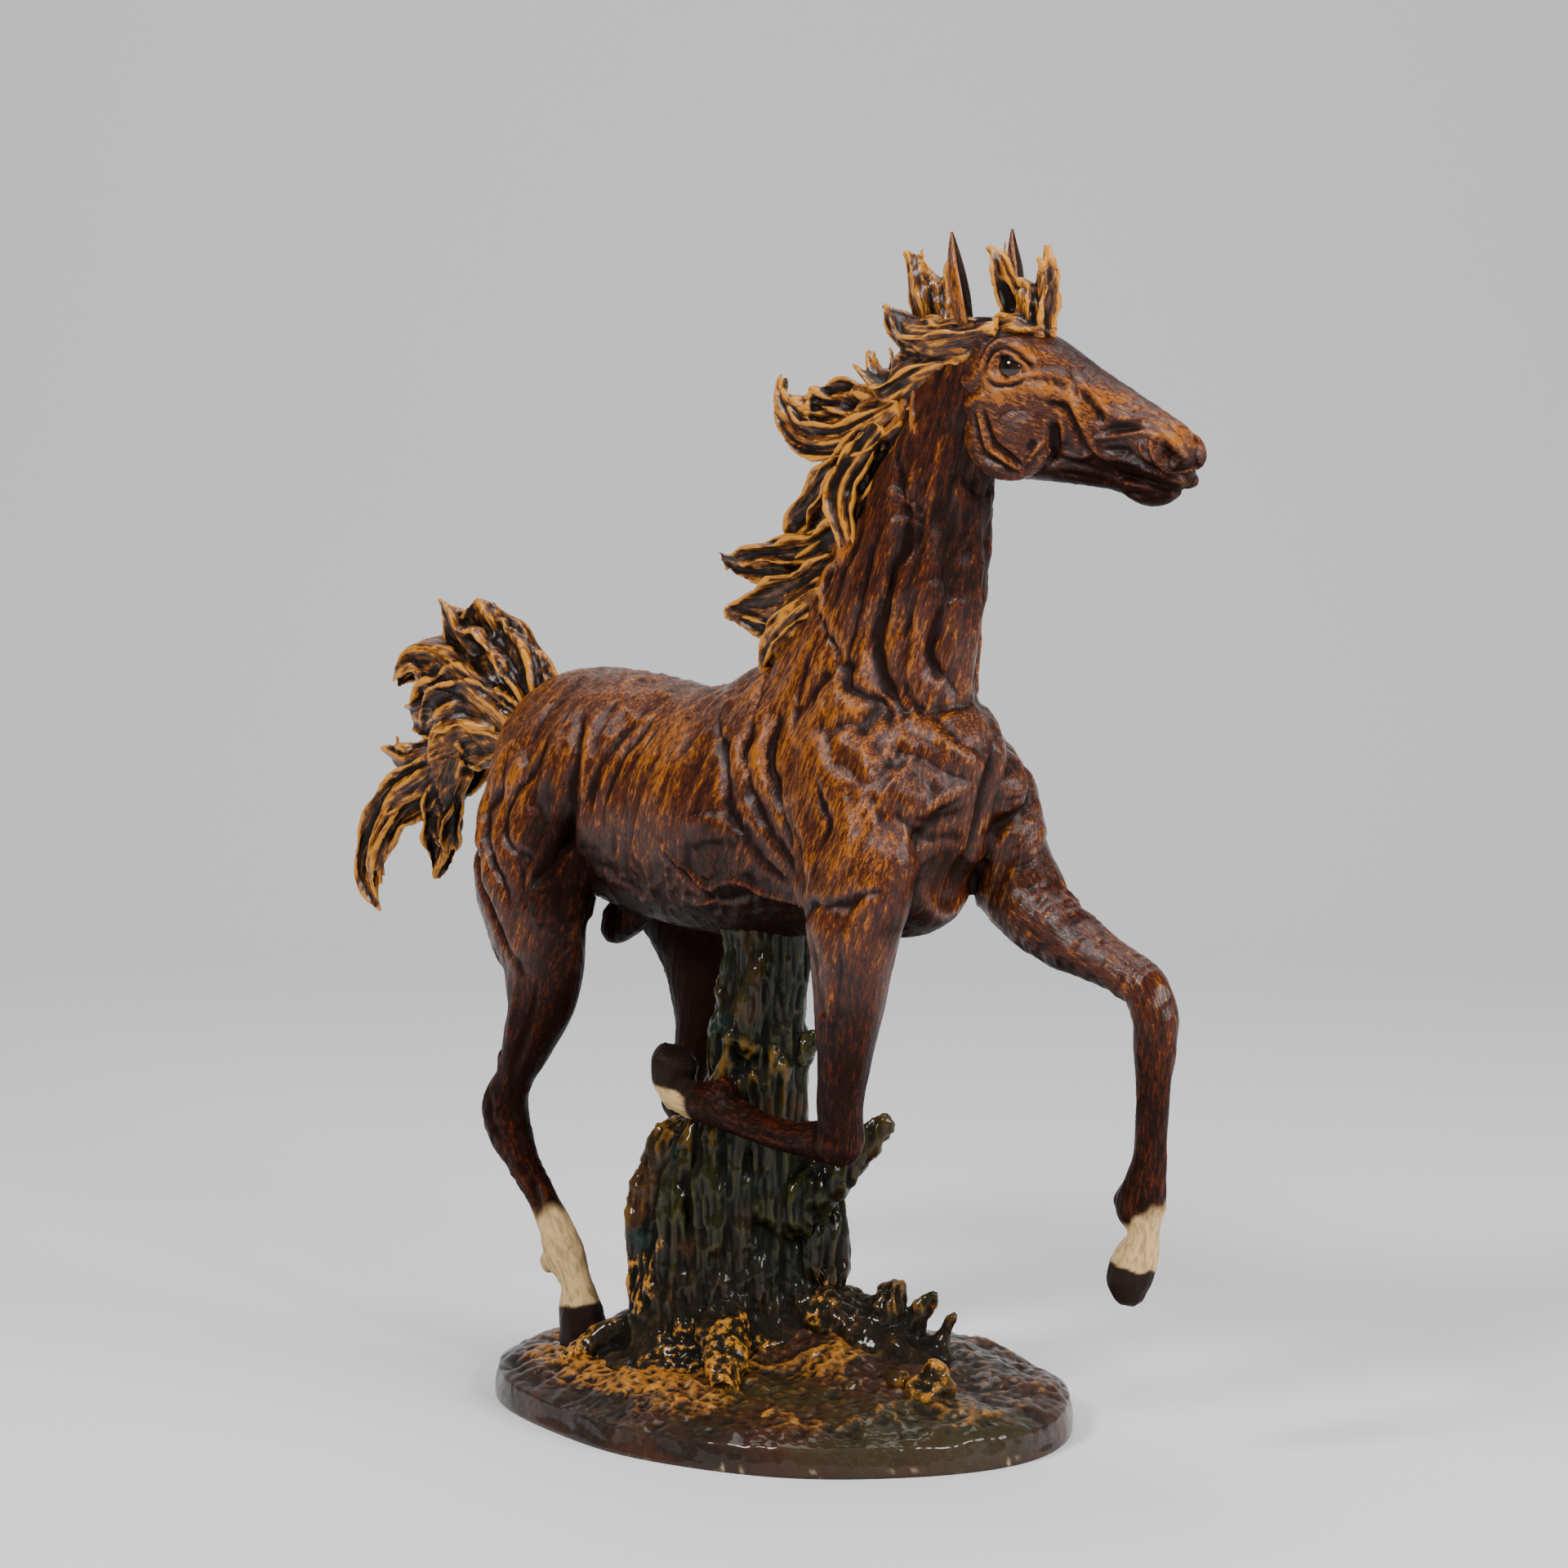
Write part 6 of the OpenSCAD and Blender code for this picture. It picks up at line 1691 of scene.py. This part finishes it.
def sweep_floor(material, azimuth):
    """A floor that curves up into a backdrop behind the statue, in metres."""
    front, back, bend, top, half, columns = 3.0, 0.9, 0.9, 4.0, 4, 9
    a = np.linspace(0, math.pi / 2, 24)
    curve = np.stack([-back - bend * np.sin(a), bend - bend * np.cos(a)], -1)
    line = np.vstack([[[front, 0.0], [-back, 0.0]], curve[1:], [[-(back + bend), top]]])
    toward, right = camera_axes(azimuth)
    across = np.linspace(-half, half, columns)[None, :, None] * right
    rows = line[:, None, :1] * toward + line[:, None, 1:] * np.array([0, 0, 1.0]) + across
    index = np.arange(len(line) * columns).reshape(len(line), columns)
    quads = np.stack([index[:-1, :-1], index[:-1, 1:], index[1:, 1:], index[1:, :-1]], -1).reshape(-1, 4)
    obj = mesh_object("floor", rows.reshape(-1, 3), quads, scale=1.0)
    obj.data.materials.append(material)


def area_light(name, place, size, power):
    lamp = bpy.data.lights.new(name, "AREA")
    lamp.shape = "DISK"
    lamp.size = size
    lamp.energy = power
    obj = bpy.data.objects.new(name, lamp)
    obj.location = place
    aim = unit(np.array([0, 0, LAMP_AIM_HEIGHT]) - place)
    obj.rotation_euler = (math.acos(-aim[2]), 0, math.atan2(aim[1], aim[0]) - math.pi / 2)
    bpy.context.scene.collection.objects.link(obj)


class STALLION_PT_panel(bpy.types.Panel):
    """Lists the steps in the order they are run"""
    bl_idname = "STALLION_PT_panel"
    bl_label = "Stallion"
    bl_space_type = "VIEW_3D"
    bl_region_type = "UI"
    bl_category = "Stallion"

    def draw(self, context):
        for operator in OPERATORS:
            self.layout.operator(operator.bl_idname)
        scene = context.scene
        for group in (scene.stallion_paint, scene.stallion_model, scene.stallion_stage):
            for key in group.bl_rna.properties.keys():
                if key not in {"rna_type", "name"}:
                    self.layout.prop(group, key)


OPERATORS = (STALLION_OT_stage, STALLION_OT_paints, STALLION_OT_body, STALLION_OT_head, STALLION_OT_hair,
             STALLION_OT_ground, STALLION_OT_hardware)
GROUPS = (StallionPaint, StallionModel, StallionStage)


def register():
    for cls in GROUPS + OPERATORS + (STALLION_PT_panel,):
        bpy.utils.register_class(cls)
    bpy.types.Scene.stallion_paint = bpy.props.PointerProperty(type=StallionPaint)
    bpy.types.Scene.stallion_model = bpy.props.PointerProperty(type=StallionModel)
    bpy.types.Scene.stallion_stage = bpy.props.PointerProperty(type=StallionStage)


def unregister():
    del bpy.types.Scene.stallion_stage
    del bpy.types.Scene.stallion_model
    del bpy.types.Scene.stallion_paint
    for cls in reversed(GROUPS + OPERATORS + (STALLION_PT_panel,)):
        bpy.utils.unregister_class(cls)


def main():
    register()
    bpy.ops.stallion.stage()
    bpy.ops.stallion.paints()
    bpy.ops.stallion.body()
    bpy.ops.stallion.head()
    bpy.ops.stallion.hair()
    bpy.ops.stallion.ground()
    bpy.ops.stallion.hardware()


if __name__ == "__main__":
    main()
